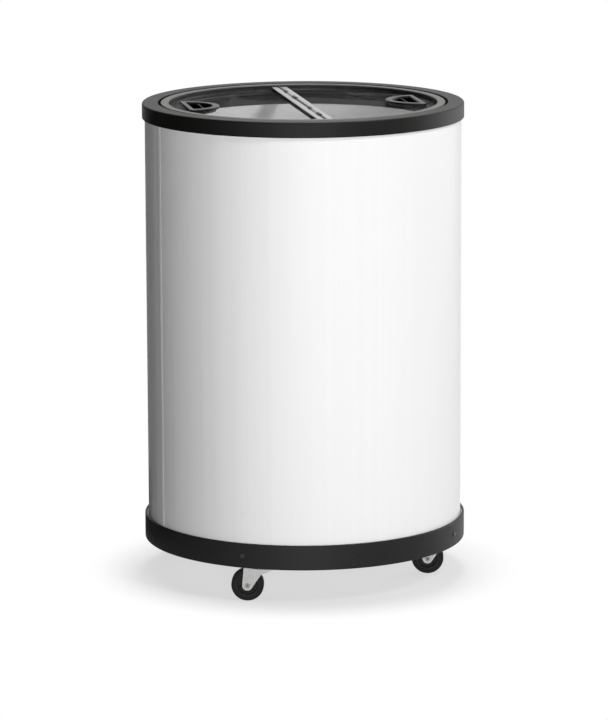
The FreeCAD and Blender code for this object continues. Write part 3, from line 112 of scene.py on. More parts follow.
def colour(label, text, *default):
    """Property for a linear colour."""
    return FloatVectorProperty(name=label, description=text, default=default, subtype="COLOR", min=0, max=1)


class FreezerCabinet(PropertyGroup):
    """Sheet wrap, collar, base band and tank"""

    steps: count("Steps", "Segments round the cabinet", 240)
    wrap_radius: length("Wrap radius", "Outside of the steel sheet", 0.295)
    sheet: length("Sheet", "Thickness of the steel sheet", 0.0007)
    seam_bearing: angle("Seam", "Bearing of the sheet's free edge", -73.0)
    seam_lap: length("Seam lap", "How far the sheet laps over itself", 0.014)
    seam_lift: length("Seam lift", "How far the lap stands out", 0.00077)
    window_half: angle("Window", "Half the angle of the window behind the grille", 30)
    window_low: length("Window foot", "Height of the window's lower edge", 0.1505)
    window_high: length("Window head", "Height of the window's upper edge", 0.2745)
    collar_mouth: length("Collar mouth", "Inside radius of the collar's top", 0.270)
    collar_wall: length("Collar wall", "Thickness of the collar's walls", 0.003)
    collar_nest: length("Collar nest", "Inside radius of the collar's skirt", 0.2962)
    collar_edge: length("Collar edge", "Rounding of the collar's upper edge", 0.0035)
    collar_lip: length("Collar lip", "Rounding of the collar's other edges", 0.0012)
    band_nest: length("Band nest", "Inside radius of the base band", 0.2979)
    band_edge: length("Band edge", "Rounding of the base band's edges", 0.002)
    throat_radius: length("Throat radius", "Inside radius of the throat band", 0.243)
    throat_wall: length("Throat wall", "Thickness of the throat band", 0.003)
    throat_foot: length("Throat foot", "Thickness of the throat band's foot", 0.0025)
    tank_radius: length("Tank radius", "Inside radius of the tank", 0.244)
    tank_wall: length("Tank wall", "Thickness of the tank's sheet", 0.001)
    tank_corner: length("Tank corner", "Inside rounding of the tank's floor", 0.030)


class FreezerLids(PropertyGroup):
    """Lid frame, glass leaves and finger cups"""

    frame_opening: length("Opening", "Inside radius of the lid frame", 0.250)
    frame_ledge: length("Ledge", "Inside radius of the ledge under the glass", 0.236)
    ledge_thickness: length("Ledge thickness", "Thickness of the ledge", 0.0035)
    frame_edge: length("Frame edge", "Rounding of the lid frame's upper edges", 0.002)
    pane_radius: length("Pane radius", "Radius of the glass leaves", 0.2485)
    pane_side: length("Pane side", "Distance of the glass from the hinge line", 0.0058)
    pane_edge: length("Pane edge", "Ground edge of the glass", 0.0006)
    cup_radius: length("Cup radius", "Radius of the finger cups", 0.064)
    cup_side: length("Cup side", "Distance of a cup's straight side from the hinge line", 0.222)
    cup_rim: length("Cup rim", "Width of a cup's raised rim along its straight side", 0.0085)
    cup_arc_rim: length("Cup arc rim", "Width of a cup's raised rim along its arc", 0.013)
    cup_lap: length("Cup lap", "How far a cup's rim lies on the glass", 0.0065)
    cup_gap: length("Cup gap", "Clearance between a cup's well and the glass", 0.0002)
    cup_corner: length("Cup corner", "Rounding of a cup's two corners", 0.006)
    cup_edge: length("Cup edge", "Rounding of a cup's rim", 0.0014)
    cup_wall: length("Cup wall", "Thickness of a cup's wall and floor", 0.0015)
    rib_length: length("Rib length", "Length of the rib in a cup", 0.066)
    rib_height: length("Rib height", "Height of the rib in a cup", 0.007)
    rib_inset: length("Rib inset", "Distance of the rib from a cup's straight wall", 0.020)
    rib_edge: length("Rib edge", "Rounding of the rib in a cup", 0.00045)


class FreezerWheels(PropertyGroup):
    """Caster wheels"""

    steps: count("Steps", "Segments round a wheel", 96)
    radius: length("Radius", "Rolling radius", 0.030)
    width: length("Width", "Width of the tread", 0.022)
    tyre: length("Tyre", "Depth of the tyre", 0.007)
    shoulder: length("Shoulder", "Rounding of the tyre's shoulders", 0.003)
    bore: length("Bore", "Radius of the axle's bore", 0.00306)
    boss: length("Boss", "Radius of the hub's boss", 0.008)
    boss_reach: length("Boss reach", "Distance of the boss's end from the middle", 0.0118)
    web: length("Web", "Thickness of the hub's web", 0.008)
    rim: length("Rim", "Depth of the hub's rim", 0.0045)
    rim_inset: length("Rim inset", "How far the hub's rim stands back from the tyre's side", 0.001)
    hub_edge: length("Hub edge", "Rounding of the hub's boss and rim", 0.0006)
    tyre_gap: length("Tyre gap", "Clearance between the tyre and the hub", 0.00005)
    ribs: count("Ribs", "Stiffening ribs on each side of the hub", 6)
    rib: length("Rib", "Thickness of a rib", 0.0016)
    rib_root: length("Rib root", "How far a rib runs into the boss and into the rim", 0.0005)
    rib_drop: length("Rib drop", "How far a rib stands back from the rim's side", 0.0015)
    rib_edge: length("Rib edge", "Rounding of a rib", 0.0004)


class FreezerColours(PropertyGroup):
    """Colours of the finishes"""

    white: colour("White", "Coated sheet", 0.86, 0.86, 0.865)
    collar: colour("Collar", "Moulded collar", 0.0066, 0.006, 0.0056)
    lid_frame: colour("Lid frame", "Moulded lid frame", 0.062, 0.058, 0.054)
    throat: colour("Throat", "Moulded throat band", 0.019, 0.0183, 0.0178)
    band: colour("Band", "Moulded base band", 0.009, 0.009, 0.0093)
    trim: colour("Trim", "Grille and other dark mouldings", 0.02, 0.02, 0.021)
    dial: colour("Dial", "Thermostat knob", 0.08, 0.08, 0.084)
    cup: colour("Cup", "Finger cups", 0.007, 0.007, 0.0068)
    rubber: colour("Rubber", "Seals and mounts", 0.014, 0.014, 0.014)
    tyre: colour("Tyre", "Caster treads and hubs", 0.009, 0.009, 0.0092)
    aluminium: colour("Aluminium", "Rails and fins", 0.32, 0.316, 0.309)
    tank: colour("Tank", "Tank sheet", 0.95, 0.953, 0.955)
    zinc: colour("Zinc", "Plated forks", 0.288, 0.288, 0.282)
    fastener: colour("Fastener", "Plated bolts and rivets", 0.2016, 0.2016, 0.1974)
    galvanised: colour("Galvanised", "Tray, deck and posts", 0.50, 0.51, 0.52)
    copper: colour("Copper", "Refrigerant lines", 0.78, 0.38, 0.22)
    foam: colour("Foam", "Insulation", 0.72, 0.60, 0.34)
    glass: colour("Glass", "Leaves seen face on", 0.03, 0.034, 0.033)


class FreezerStudio(PropertyGroup):
    """Camera, floor and lamps"""

    azimuth: angle("Azimuth", "Bearing of the camera", -10.6)
    distance: length("Distance", "Camera's distance from the cabinet's axis", 7.697)
    height: length("Height", "Camera's height above the floor", 1.895)
    tilt: angle("Tilt", "How far the camera looks down", 10.986)
    roll: angle("Roll", "How far the camera leans over", -0.223)
    focal: FloatProperty(name="Focal length", description="In pixels of the picture", default=4163)
    key_watts: FloatProperty(name="Key", description="Power of the front lamp", default=130, unit="POWER")
    side_watts: FloatProperty(name="Side", description="Power of the side lamp", default=50, unit="POWER")
    high_watts: FloatProperty(name="High", description="Power of the high lamp", default=124, unit="POWER")
    back_watts: FloatProperty(name="Back", description="Power of the back lamp", default=78, unit="POWER")
    ambient: FloatProperty(name="Ambient", description="Even light from all round", default=0.03)
    floor_radius: length("Floor", "Radius of the floor", 40)
    shade_inner: length("Shade inside", "Distance up to which the floor shows its shadow in full", 0.27)
    shade_outer: length("Shade outside", "Distance from which the floor shows plain white", 0.42)
    floor_glow: FloatProperty(name="Floor glow", description="Floor's least share of white", default=0.61)


class FreezerSettings(PropertyGroup):
    """All of the freezer's settings"""

    cabinet: PointerProperty(type=FreezerCabinet)
    lids: PointerProperty(type=FreezerLids)
    wheels: PointerProperty(type=FreezerWheels)
    colours: PointerProperty(type=FreezerColours)
    studio: PointerProperty(type=FreezerStudio)


# Shader expressions
class Value:
    """A shader output that takes part in Python expressions."""

    def __init__(self, nodes, socket):
        self.nodes = nodes
        self.socket = socket

    def maths(self, operation, first, second):
        """Result of a Math node."""
        return self.nodes.node("ShaderNodeMath", {"operation": operation}, {0: first, 1: second})

    def __add__(self, other):
        return self.maths("ADD", self, other)

    __radd__ = __add__

    def __sub__(self, other):
        return self.maths("SUBTRACT", self, other)

    def __rsub__(self, other):
        return self.maths("SUBTRACT", other, self)

    def __mul__(self, other):
        return self.maths("MULTIPLY", self, other)

    __rmul__ = __mul__


class Nodes:
    """A node tree that nodes and expressions are added to."""

    def __init__(self, tree):
        self.tree = tree

    def plug(self, node, inputs):
        """Set a node's sockets, each from a value or from another node's output."""
        for key, value in inputs.items():
            if isinstance(value, Value):
                self.tree.links.new(value.socket, node.inputs[key])
            else:
                node.inputs[key].default_value = value

    def node(self, kind, settings=None, inputs=None, output=0):
        """Add a node with its settings and sockets, and give back one of its outputs."""
        node = self.tree.nodes.new(kind)
        for key, value in (settings or {}).items():
            setattr(node, key, value)
        self.plug(node, inputs or {})
        return Value(self, node.outputs[output])

    def seen(self):
        """1 for rays that show the background: from the camera, in gloss and through glass."""
        seen = self.node("ShaderNodeLightPath", output="Is Camera Ray")
        for ray in ("Is Glossy Ray", "Is Transmission Ray"):
            seen = seen.maths("MAXIMUM", seen, self.node("ShaderNodeLightPath", output=ray))
        return seen


def finish_name(slot):
    """Name of a slot's new material, beside the frame's own one."""
    return slot + "_finish"


class Finish(Nodes):
    """A node material that ends in one Principled shader."""

    def __init__(self, slot, **constants):
        self.material = bpy.data.materials.new(finish_name(slot))
        self.material.use_nodes = True
        super().__init__(self.material.node_tree)
        self.shader = self.tree.nodes["Principled BSDF"]
        self.plug(self.shader, {key.replace("_", " "): value for key, value in constants.items()})

    def place(self, stretch=(1, 1, 1)):
        """Object coordinates, with more repeats along the axes of a larger stretch."""
        coordinates = self.node("ShaderNodeTexCoord", output="Object")
        return self.node("ShaderNodeMapping", inputs={"Vector": coordinates, "Scale": stretch})

    def axis(self, name):
        """One of the object coordinates."""
        coordinates = self.node("ShaderNodeTexCoord", output="Object")
        return self.node("ShaderNodeSeparateXYZ", inputs={"Vector": coordinates}, output=name)

    def noise(self, scale, detail=2.0, stretch=(1, 1, 1)):
        """Cloudy pattern between 0 and 1."""
        inputs = {"Vector": self.place(stretch), "Scale": scale, "Detail": detail}
        return self.node("ShaderNodeTexNoise", inputs=inputs)

    def cells(self, scale, output="Distance"):
        """Distance to the nearest of scattered points, or the colour of its cell."""
        return self.node("ShaderNodeTexVoronoi", None, {"Vector": self.place(), "Scale": scale}, output)

    def rise(self, value, low, high):
        """Smooth step from 0 at low to 1 at high."""
        inputs = {"Value": value, "From Min": low, "From Max": high}
        return self.node("ShaderNodeMapRange", {"interpolation_type": "SMOOTHSTEP"}, inputs)

    def tint(self, factor, first, second):
        """Blend of two colours, by the places of the Mix node's colour sockets."""
        inputs = {0: factor, 6: first, 7: second}
        return self.node("ShaderNodeMix", {"data_type": "RGBA"}, inputs, 2)

    def relief(self, height, depth):
        """Surface normal bent by a height between 0 and 1, of a depth in metres."""
        return self.node("ShaderNodeBump", inputs={"Height": height, "Distance": depth})

    def show(self, base, roughness, normal):
        """Feed the shader with what changes over the surface."""
        self.plug(self.shader, {"Base Color": base, "Roughness": roughness, "Normal": normal})


def shade(rgb, factor):
    """Colour made lighter or darker, with its alpha of 1."""
    return tuple(channel * factor for channel in rgb) + (1.0,)


# Finishes, one for each material slot of the record
def coated_sheet(slot, rgb):
    """Gloss white coil coating with a faint peel and the soft bands of rolled sheet."""
    look = Finish(slot, Specular_IOR_Level=0.06)
    bands = look.noise(5.0, 1.0, (8, 8, 0.12))
    peel = look.noise(520.0, 1.0)
    clouds = look.noise(2.5)
    lines = look.noise(1.0, 2.0, (150, 150, 0.05))
    base = look.tint(clouds * 0.3 + lines * 0.7, shade(rgb, 0.96), shade(rgb, 1.035))
    scuffs = look.rise(look.noise(34.0, 6.0, (1, 1, 3)), 0.66, 0.80) * look.rise(look.axis("Z"), 0.30, 0.14)
    base = look.tint(scuffs * 0.10, base, shade(rgb, 0.55))
    normal = look.relief(bands + peel * 0.03, 0.0008)
    look.show(base, 0.36 + 0.06 * look.noise(18.0), normal)


def moulded(slot, rgb, grain, depth, rough, level):
    """Dark moulding with a spark-eroded grain and light scuffs."""
    look = Finish(slot, Specular_IOR_Level=level)
    texture = look.cells(grain)
    clouds = look.noise(14.0, 4.0)
    scuffs = look.rise(look.noise(95.0, 8.0), 0.63, 0.78) * look.rise(look.noise(9.0), 0.50, 0.66)
    base = look.tint(clouds, shade(rgb, 0.85), shade(rgb, 1.2))
    base = look.tint(scuffs * 0.35, base, shade(rgb, 3.0))
    look.show(base, rough + 0.10 * clouds - 0.06 * scuffs, look.relief(texture, depth))


def rolled_fins(slot, rgb):
    """Thin aluminium with fine rolling lines."""
    look = Finish(slot, Metallic=1.0)
    lines = look.noise(1.0, 3.0, (60, 60, 400))
    clouds = look.noise(22.0, 4.0)
    base = look.tint(lines * 0.5 + clouds * 0.5, shade(rgb, 0.86), shade(rgb, 1.08))
    look.show(base, 0.28 + 0.14 * clouds + 0.06 * lines, look.relief(lines, 0.0001))


def tank_sheet(slot, rgb):
    """Light sheet, brushed round the tank and dulled by handling."""
    look = Finish(slot, Metallic=0.05, Specular_IOR_Level=0.5)
    brushing = look.noise(1.0, 4.0, (9, 9, 460))
    clouds = look.noise(4.0, 5.0)
    base = look.tint(clouds * 0.4 + brushing * 0.6, shade(rgb, 0.94), shade(rgb, 1.05))
    look.show(base, 0.42 + 0.12 * clouds, look.relief(brushing, 0.0003))


def satin_band(slot, rgb):
    """Dark satin moulding with faint lines that run round it; in patches the lines are painted lighter, as painted
    reflection streaks.
    """
    look = Finish(slot, Specular_IOR_Level=0.2)
    lines = look.noise(1.0, 3.0, (12, 12, 380))
    patches = look.rise(look.noise(11.0, 2.0, (1, 1, 2)), 0.42, 0.62)
    # Painted reflection: in patches the lines are tinted up to 2.6 times lighter, as streaks of reflected light;
    # their relief is real.
    base = look.tint(lines * patches, shade(rgb, 0.8), shade(rgb, 2.6))
    look.show(base, 0.40 + 0.12 * lines, look.relief(lines, 0.0003))


def rail_black_below_glass(slot, rgb, seam):
    """Drawn aluminium strip above the height of a seam, and black below it."""
    look = Finish(slot)
    # Below the glass's top the rail is coloured black, which shows as a dark line along the rail's side.
    black_below_glass = (0.008, 0.008, 0.008, 1)
    fade = 0.0003
    strip = look.rise(look.axis("Z"), seam - fade, seam)
    lines = look.noise(1.0, 3.0, (420, 6, 420))
    clouds = look.noise(22.0, 4.0)
    metal = look.tint(lines * 0.5 + clouds * 0.5, shade(rgb, 0.86), shade(rgb, 1.08))
    look.plug(look.shader, {"Metallic": strip})
    base = look.tint(strip, black_below_glass, metal)
    look.show(base, 0.30 + 0.14 * clouds + 0.06 * lines, look.relief(lines, 0.00012))


def plated(slot, rgb, rough):
    """Zinc plate: bright, faintly clouded, with a little dulling."""
    look = Finish(slot, Metallic=0.85)
    clouds = look.noise(70.0, 6.0)
    spots = look.rise(look.noise(260.0, 3.0), 0.62, 0.74)
    base = look.tint(clouds, shade(rgb, 0.86), shade(rgb, 1.1))
    base = look.tint(spots * 0.25, base, shade(rgb, 0.6))
    look.show(base, rough + 0.16 * clouds, look.relief(look.noise(420.0, 2.0), 0.00012))


def spangled(slot, rgb):
    """Hot-dip galvanised sheet with its crystal flakes."""
    look = Finish(slot, Metallic=0.9)
    grey = look.node("ShaderNodeRGBToBW", inputs={"Color": look.cells(75.0, "Color")})
    base = look.tint(grey, shade(rgb, 0.72), shade(rgb, 1.15))
    look.show(base, 0.38 + 0.2 * grey, look.relief(look.noise(140.0, 3.0), 0.0002))


def soft_rubber(slot, rgb, rough):
    """Matt rubber with bloom and mould texture."""
    look = Finish(slot, Specular_IOR_Level=0.10)
    bloom = look.noise(45.0, 5.0)
    base = look.tint(bloom, shade(rgb, 0.8), shade(rgb, 1.5))
    look.show(base, rough + 0.14 * bloom, look.relief(look.noise(900.0, 2.0), 0.00015))


def enamel(slot, rgb):
    """Black stoved enamel with a soft peel."""
    look = Finish(slot, Specular_IOR_Level=0.45)
    clouds = look.noise(30.0, 4.0)
    base = look.tint(clouds, shade(rgb, 0.8), shade(rgb, 1.4))
    look.show(base, 0.28 + 0.12 * clouds, look.relief(look.noise(240.0, 2.0), 0.0003))


def copper_tube(slot, rgb):
    """Drawn copper, browned in patches."""
    look = Finish(slot, Metallic=1.0)
    tarnish = look.rise(look.noise(55.0, 6.0), 0.35, 0.75)
    base = look.tint(tarnish, shade(rgb, 1.0), shade(rgb, 0.55))
    look.show(base, 0.26 + 0.22 * tarnish, look.relief(look.noise(300.0, 2.0), 0.0001))


def rigid_foam(slot, rgb):
    """Cut polyurethane foam with open cells."""
    look = Finish(slot, Specular_IOR_Level=0.2)
    pores = look.cells(420.0)
    clouds = look.noise(9.0, 5.0)
    base = look.tint(clouds * 0.6 + pores * 0.4, shade(rgb, 0.85), shade(rgb, 1.08))
    look.show(base, 0.88 + 0.06 * clouds, look.relief(pores, 0.001))


def clear_glass(slot, rgb):
    """Toughened glass: nearly clear, with a faint film of wiping marks."""
    look = Finish(slot, Specular_IOR_Level=0.5, IOR=1.5)
    film = look.noise(6.0, 6.0, (3, 1, 1))
    base = look.tint(film, shade(rgb, 0.9), shade(rgb, 1.05))
    look.plug(look.shader, {"Alpha": 0.03 + 0.04 * film})
    look.show(base, 0.03 + 0.05 * film, look.relief(look.noise(2.0), 0.0002))


def glass_edge(slot, rgb):
    """Ground edge of the glass, deep and greenish."""
    look = Finish(slot, Specular_IOR_Level=0.5)
    waves = look.noise(160.0, 3.0)
    look.plug(look.shader, {"Alpha": 0.75 + 0.1 * waves})
    base = look.tint(waves, shade(rgb, 1.2), shade(rgb, 3.0))
    look.show(base, 0.24 + 0.1 * waves, look.relief(waves, 0.0002))


def make_finishes(colours):
    """Make the finish of every slot."""
    coated_sheet("white_steel", colours.white)
    moulded("collar_plastic", colours.collar, grain=900, depth=0.00022, rough=0.40, level=0.125)
    moulded("lid_frame_plastic", colours.lid_frame, grain=1100, depth=0.00012, rough=0.36, level=0.26)
    satin_band("throat_plastic", colours.throat)
    moulded("base_plastic", colours.band, grain=800, depth=0.00022, rough=0.44, level=0.16)
    moulded("grip_plastic", colours.cup, grain=1200, depth=0.00008, rough=0.30, level=0.19)
    moulded("dark_trim", colours.trim, grain=900, depth=0.0002, rough=0.46, level=0.4)
    moulded("wheel_plastic", colours.tyre, grain=1000, depth=0.00015, rough=0.40, level=0.12)
    moulded("dial_plastic", colours.dial, grain=1000, depth=0.00012, rough=0.40, level=0.4)
    tank_sheet("tank_aluminium", colours.tank)
    rail_black_below_glass("rail_aluminium", colours.aluminium, seam=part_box("left_glass")[1].z)
    rolled_fins("fin_aluminium", colours.aluminium)
    plated("zinc_steel", colours.zinc, rough=0.30)
    plated("steel_fastener", colours.fastener, rough=0.34)
    enamel("black_fastener", colours.band)
    spangled("galvanised_steel", colours.galvanised)
    soft_rubber("rubber_seal", colours.rubber, rough=0.72)
    soft_rubber("tyre_rubber", colours.tyre, rough=0.52)
    enamel("compressor_black", colours.band)
    copper_tube("copper", colours.copper)
    rigid_foam("foam", colours.foam)
    clear_glass("glass", colours.glass)
    glass_edge("glass_edge", colours.glass)


def finish(slot):
    """The material made for a slot."""
    return bpy.data.materials[finish_name(slot)]


# Modelling helpers
def at(radius, bearing, z):
    """Point at a radius from the cabinet's axis on a bearing."""
    return Vector((radius * math.sin(bearing), -radius * math.cos(bearing), z))


def bearing_of(point):
    """Bearing of a point, between 0 and a full turn."""
    return math.atan2(point.x, -point.y) % math.tau


def rounded(bm, edges, radius, segments=4):
    """Round edges with a bevel."""
    bmesh.ops.bevel(
        bm, geom=edges, offset=radius, affect="EDGES", segments=segments, profile=0.5, material=-1
    )


def closed(bm):
    """Merge doubles, drop what they leave and turn the faces outwards."""
    bmesh.ops.remove_doubles(bm, verts=bm.verts[:], dist=TINY)
    bmesh.ops.dissolve_degenerate(bm, edges=bm.edges[:], dist=TINY)
    bmesh.ops.recalc_face_normals(bm, faces=bm.faces[:])


def ring_edges(bm, radius, height):
    """Edges that run round a turned shape at one radius and height."""
    def on_ring(vert):
        return abs(vert.co.xy.length - radius) < TINY and abs(vert.co.z - height) < TINY
    return [edge for edge in bm.edges if on_ring(edge.verts[0]) and on_ring(edge.verts[1])]


def turned(corners, steps):
    """Shape turned about Z from (radius, height, rounding) corners of a closed profile."""
    bm = bmesh.new()
    line = [bm.verts.new((radius, 0, height)) for radius, height, rounding in corners]
    for before, after in zip(line, line[1:] + line[:1]):
        bm.edges.new((before, after))
    geom = bm.verts[:] + bm.edges[:]
    bmesh.ops.spin(bm, geom=geom, cent=ORIGIN, axis=UP, angle=math.tau, steps=steps, use_merge=True)
    closed(bm)
    for radius, height, rounding in corners:
        if rounding:
            rounded(bm, ring_edges(bm, radius, height), rounding)
    return bm


def finished(name, bm, body, slot, *nodes, second=None):
    """Object from a bmesh with its finish, riding on a body and standing for CAD nodes."""
    mesh = bpy.data.meshes.new(name)
    bm.to_mesh(mesh)
    bm.free()
    mesh.shade_smooth()
    mesh.set_sharp_from_angle(angle=SMOOTH_ANGLE)
    mesh.materials.append(finish(slot))
    if second:
        mesh.materials.append(finish(second))
    piece = bpy.data.objects.new(name, mesh)
    bpy.context.scene.collection.objects.link(piece)
    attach(piece, body)
    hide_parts(*nodes)
    return piece


def even_normals(piece):
    """Keep broad faces flat beside their rounded edges."""
    modifier = piece.modifiers.new("normals", "WEIGHTED_NORMAL")
    modifier.keep_sharp = True


def joined(bm, other):
    """Add another bmesh to one, and free it."""
    mesh = bpy.data.meshes.new("part")
    other.to_mesh(mesh)
    other.free()
    bm.from_mesh(mesh)
    bpy.data.meshes.remove(mesh)


def block(size, centre, turn=None, edge=0.0):
    """Box with rounded edges, turned and then set on its centre."""
    bm = bmesh.new()
    bmesh.ops.create_cube(bm, size=1)
    bmesh.ops.scale(bm, vec=size, verts=bm.verts[:])
    if edge:
        rounded(bm, bm.edges[:], edge, segments=2)
    if turn:
        bmesh.ops.transform(bm, matrix=turn, verts=bm.verts[:])
    bmesh.ops.translate(bm, vec=centre, verts=bm.verts[:])
    return bm


# Pieces
class FREEZER_OT_finishes(Operator):
    """Make the finishes and give each CAD piece that stays its own"""

    bl_idname = "freezer.finishes"
    bl_label = "Finishes"

    def execute(self, context):
        make_finishes(context.scene.freezer.colours)
        for row in frame["record"]["subparts"]:
            for slot in frame["nodes"][row["node"]].material_slots:
                slot.material = finish(row["material_slot"])
        return {"FINISHED"}


class FREEZER_OT_wrap(Operator):
    """Roll the coated sheet round the cabinet, with its lapped seam and the window behind the grille"""

    bl_idname = "freezer.wrap"
    bl_label = "Outer Wrap"

    def execute(self, context):
        cabinet = context.scene.freezer.cabinet
        low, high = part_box("outer_wrap")
        step = math.tau / cabinet.steps
        lap = cabinet.seam_lap / cabinet.wrap_radius
        start = cabinet.seam_bearing - lap
        first, last = math.pi - cabinet.window_half, math.pi + cabinet.window_half
        bm = bmesh.new()
        levels = (low.z, cabinet.window_low, cabinet.window_high, high.z)
        line = [bm.verts.new(at(cabinet.wrap_radius, start, z)) for z in levels]
        geom = line + [bm.edges.new(pair) for pair in zip(line, line[1:])]
        for stop in (first, last, start + math.tau):
            sweep = stop - start
            made = bmesh.ops.spin(
                bm, geom=geom, cent=ORIGIN, axis=UP, angle=sweep, steps=max(2, round(sweep / step))
            )
            geom, start = made["geom_last"], stop
        under = set(bm.verts)
        bmesh.ops.spin(bm, geom=geom, cent=ORIGIN, axis=UP, angle=lap, steps=LAP_STEPS)
        lift = 1 + cabinet.seam_lift / cabinet.wrap_radius
        bmesh.ops.scale(bm, vec=(lift, lift, 1), verts=[vert for vert in bm.verts if vert not in under])
        window = []
        for face in bm.faces:
            middle = face.calc_center_median()
            if first < bearing_of(middle) < last and cabinet.window_low < middle.z < cabinet.window_high:
                window.append(face)
        bmesh.ops.delete(bm, geom=window, context="FACES")
        bmesh.ops.recalc_face_normals(bm, faces=bm.faces[:])
        if sum(face.normal.dot(face.calc_center_median() * Vector((1, 1, 0))) for face in bm.faces) < 0:
            bmesh.ops.reverse_faces(bm, faces=bm.faces[:])
        piece = finished("cabinet_wrap", bm, "cabinet", "white_steel", "outer_wrap")
        wall = piece.modifiers.new("sheet", "SOLIDIFY")
        wall.thickness = cabinet.sheet
        wall.offset = -1
        even_normals(piece)
        return {"FINISHED"}


class FREEZER_OT_collar(Operator):
    """Turn the moulded collar with its skirt, flat top and sunk seat"""

    bl_idname = "freezer.collar"
    bl_label = "Collar"

    def execute(self, context):
        cabinet = context.scene.freezer.cabinet
        low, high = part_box("top_collar")
        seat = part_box("lid_frame")[0].z
        under = seat - cabinet.collar_wall
        wall = cabinet.collar_mouth + cabinet.collar_wall
        bm = turned([
            (cabinet.collar_nest, low.z, 0),
            (high.x, low.z, cabinet.collar_lip),
            (high.x, high.z, cabinet.collar_edge),
            (cabinet.collar_mouth, high.z, cabinet.collar_lip),
            (cabinet.collar_mouth, seat, 0),
            (cabinet.throat_radius, seat, 0),
            (cabinet.throat_radius, under, 0),
            (wall, under, 0),
            (wall, high.z - cabinet.collar_wall, 0),
            (cabinet.collar_nest, high.z - cabinet.collar_wall, 0),
        ], cabinet.steps)
        even_normals(finished("rim_collar", bm, "cabinet", "collar_plastic", "top_collar"))
        return {"FINISHED"}


class FREEZER_OT_base_band(Operator):
    """Turn the bumper band round the cabinet's foot"""

    bl_idname = "freezer.base_band"
    bl_label = "Base Band"

    def execute(self, context):
        cabinet = context.scene.freezer.cabinet
        low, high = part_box("base_ring")
        bm = turned([
            (cabinet.band_nest, low.z, 0),
            (high.x, low.z, cabinet.band_edge),
            (high.x, high.z, cabinet.band_edge),
            (cabinet.band_nest, high.z, 0),
        ], cabinet.steps)
        even_normals(finished("base_band", bm, "cabinet", "base_plastic", "base_ring"))
        return {"FINISHED"}


class FREEZER_OT_tank(Operator):
    """Turn the tank and the dark throat band above it"""

    bl_idname = "freezer.tank"
    bl_label = "Tank"

    def execute(self, context):
        cabinet = context.scene.freezer.cabinet
        low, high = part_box("tank_liner")
        outside = cabinet.tank_radius + cabinet.tank_wall
        bm = turned([
            (0, low.z, 0),
            (outside, low.z, cabinet.tank_corner + cabinet.tank_wall),
            (outside, high.z - cabinet.tank_wall, 0),
            (high.x, high.z - cabinet.tank_wall, 0),
            (high.x, high.z, 0),
            (cabinet.tank_radius, high.z, 0),
            (cabinet.tank_radius, low.z + cabinet.tank_wall, cabinet.tank_corner),
            (0, low.z + cabinet.tank_wall, 0),
        ], cabinet.steps)
        finished("tank", bm, "cabinet", "tank_aluminium", "tank_liner")
        foot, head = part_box("throat_ring")
        wall = cabinet.throat_radius + cabinet.throat_wall
        bm = turned([
            (cabinet.throat_radius, foot.z, 0),
            (head.x, foot.z, 0),
            (head.x, foot.z + cabinet.throat_foot, 0),
            (wall, foot.z + cabinet.throat_foot, 0),
            (wall, head.z, 0),
            (cabinet.throat_radius, head.z, 0),
        ], cabinet.steps)
        finished("throat_band", bm, "cabinet", "throat_plastic", "throat_ring")
        return {"FINISHED"}


class FREEZER_OT_lid_frame(Operator):
    """Turn the ring that carries the glass leaves, with painted shade on the faces inside its opening."""

    bl_idname = "freezer.lid_frame"
    bl_label = "Lid Frame"

    def execute(self, context):
        lids = context.scene.freezer.lids
        low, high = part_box("lid_frame")
        ledge = low.z + lids.ledge_thickness
        bm = turned([
            (lids.frame_ledge, low.z, 0),
            (high.x, low.z, 0),
            (high.x, high.z, lids.frame_edge),
            (lids.frame_opening, high.z, lids.frame_edge),
            (lids.frame_opening, ledge, 0),
            (lids.frame_ledge, ledge, lids.frame_edge / 2),
        ], context.scene.freezer.cabinet.steps)
        # Painted shade: the faces inside the opening and the ledge take the darker throat finish, standing for the
        # shade inside the frame.
        for face in bm.faces:
            middle = face.calc_center_median()
            inside = middle.xy.length < lids.frame_opening + TINY and middle.z < high.z - lids.frame_edge
            face.material_index = int(inside)
        ring = finished("lid_ring", bm, "cabinet", "lid_frame_plastic", "lid_frame", second="throat_plastic")
        even_normals(ring)
        return {"FINISHED"}


def half_round(lids, side_inset, arc_inset, z):
    """Flat D outline of a left finger cup, drawn in from its straight side and from its arc."""
    radius = lids.cup_radius - arc_inset
    half = math.acos(side_inset / radius)
    bm = bmesh.new()
    first = bm.verts.new((side_inset, -radius * math.sin(half), 0))
    made = bmesh.ops.spin(bm, geom=[first], cent=ORIGIN, axis=UP, angle=2 * half, steps=CUP_STEPS)
    last = made["geom_last"][0]
    bm.edges.new((last, first))
    bmesh.ops.edgeloop_fill(bm, edges=bm.edges[:])
    offset = lids.cup_corner - CORNER_FALL * side_inset
    corners = [first, last]
    bmesh.ops.bevel(
        bm, geom=corners, offset=offset, affect="VERTICES", segments=CORNER_STEPS, profile=0.5, material=-1
    )
    bmesh.ops.translate(bm, vec=(-lids.cup_side, 0, z), verts=bm.verts[:])
    return bm


def mirrored(bm):
    """Turn a left piece into a right one."""
    bmesh.ops.scale(bm, vec=(-1, 1, 1), verts=bm.verts[:])
    bmesh.ops.reverse_faces(bm, faces=bm.faces[:])


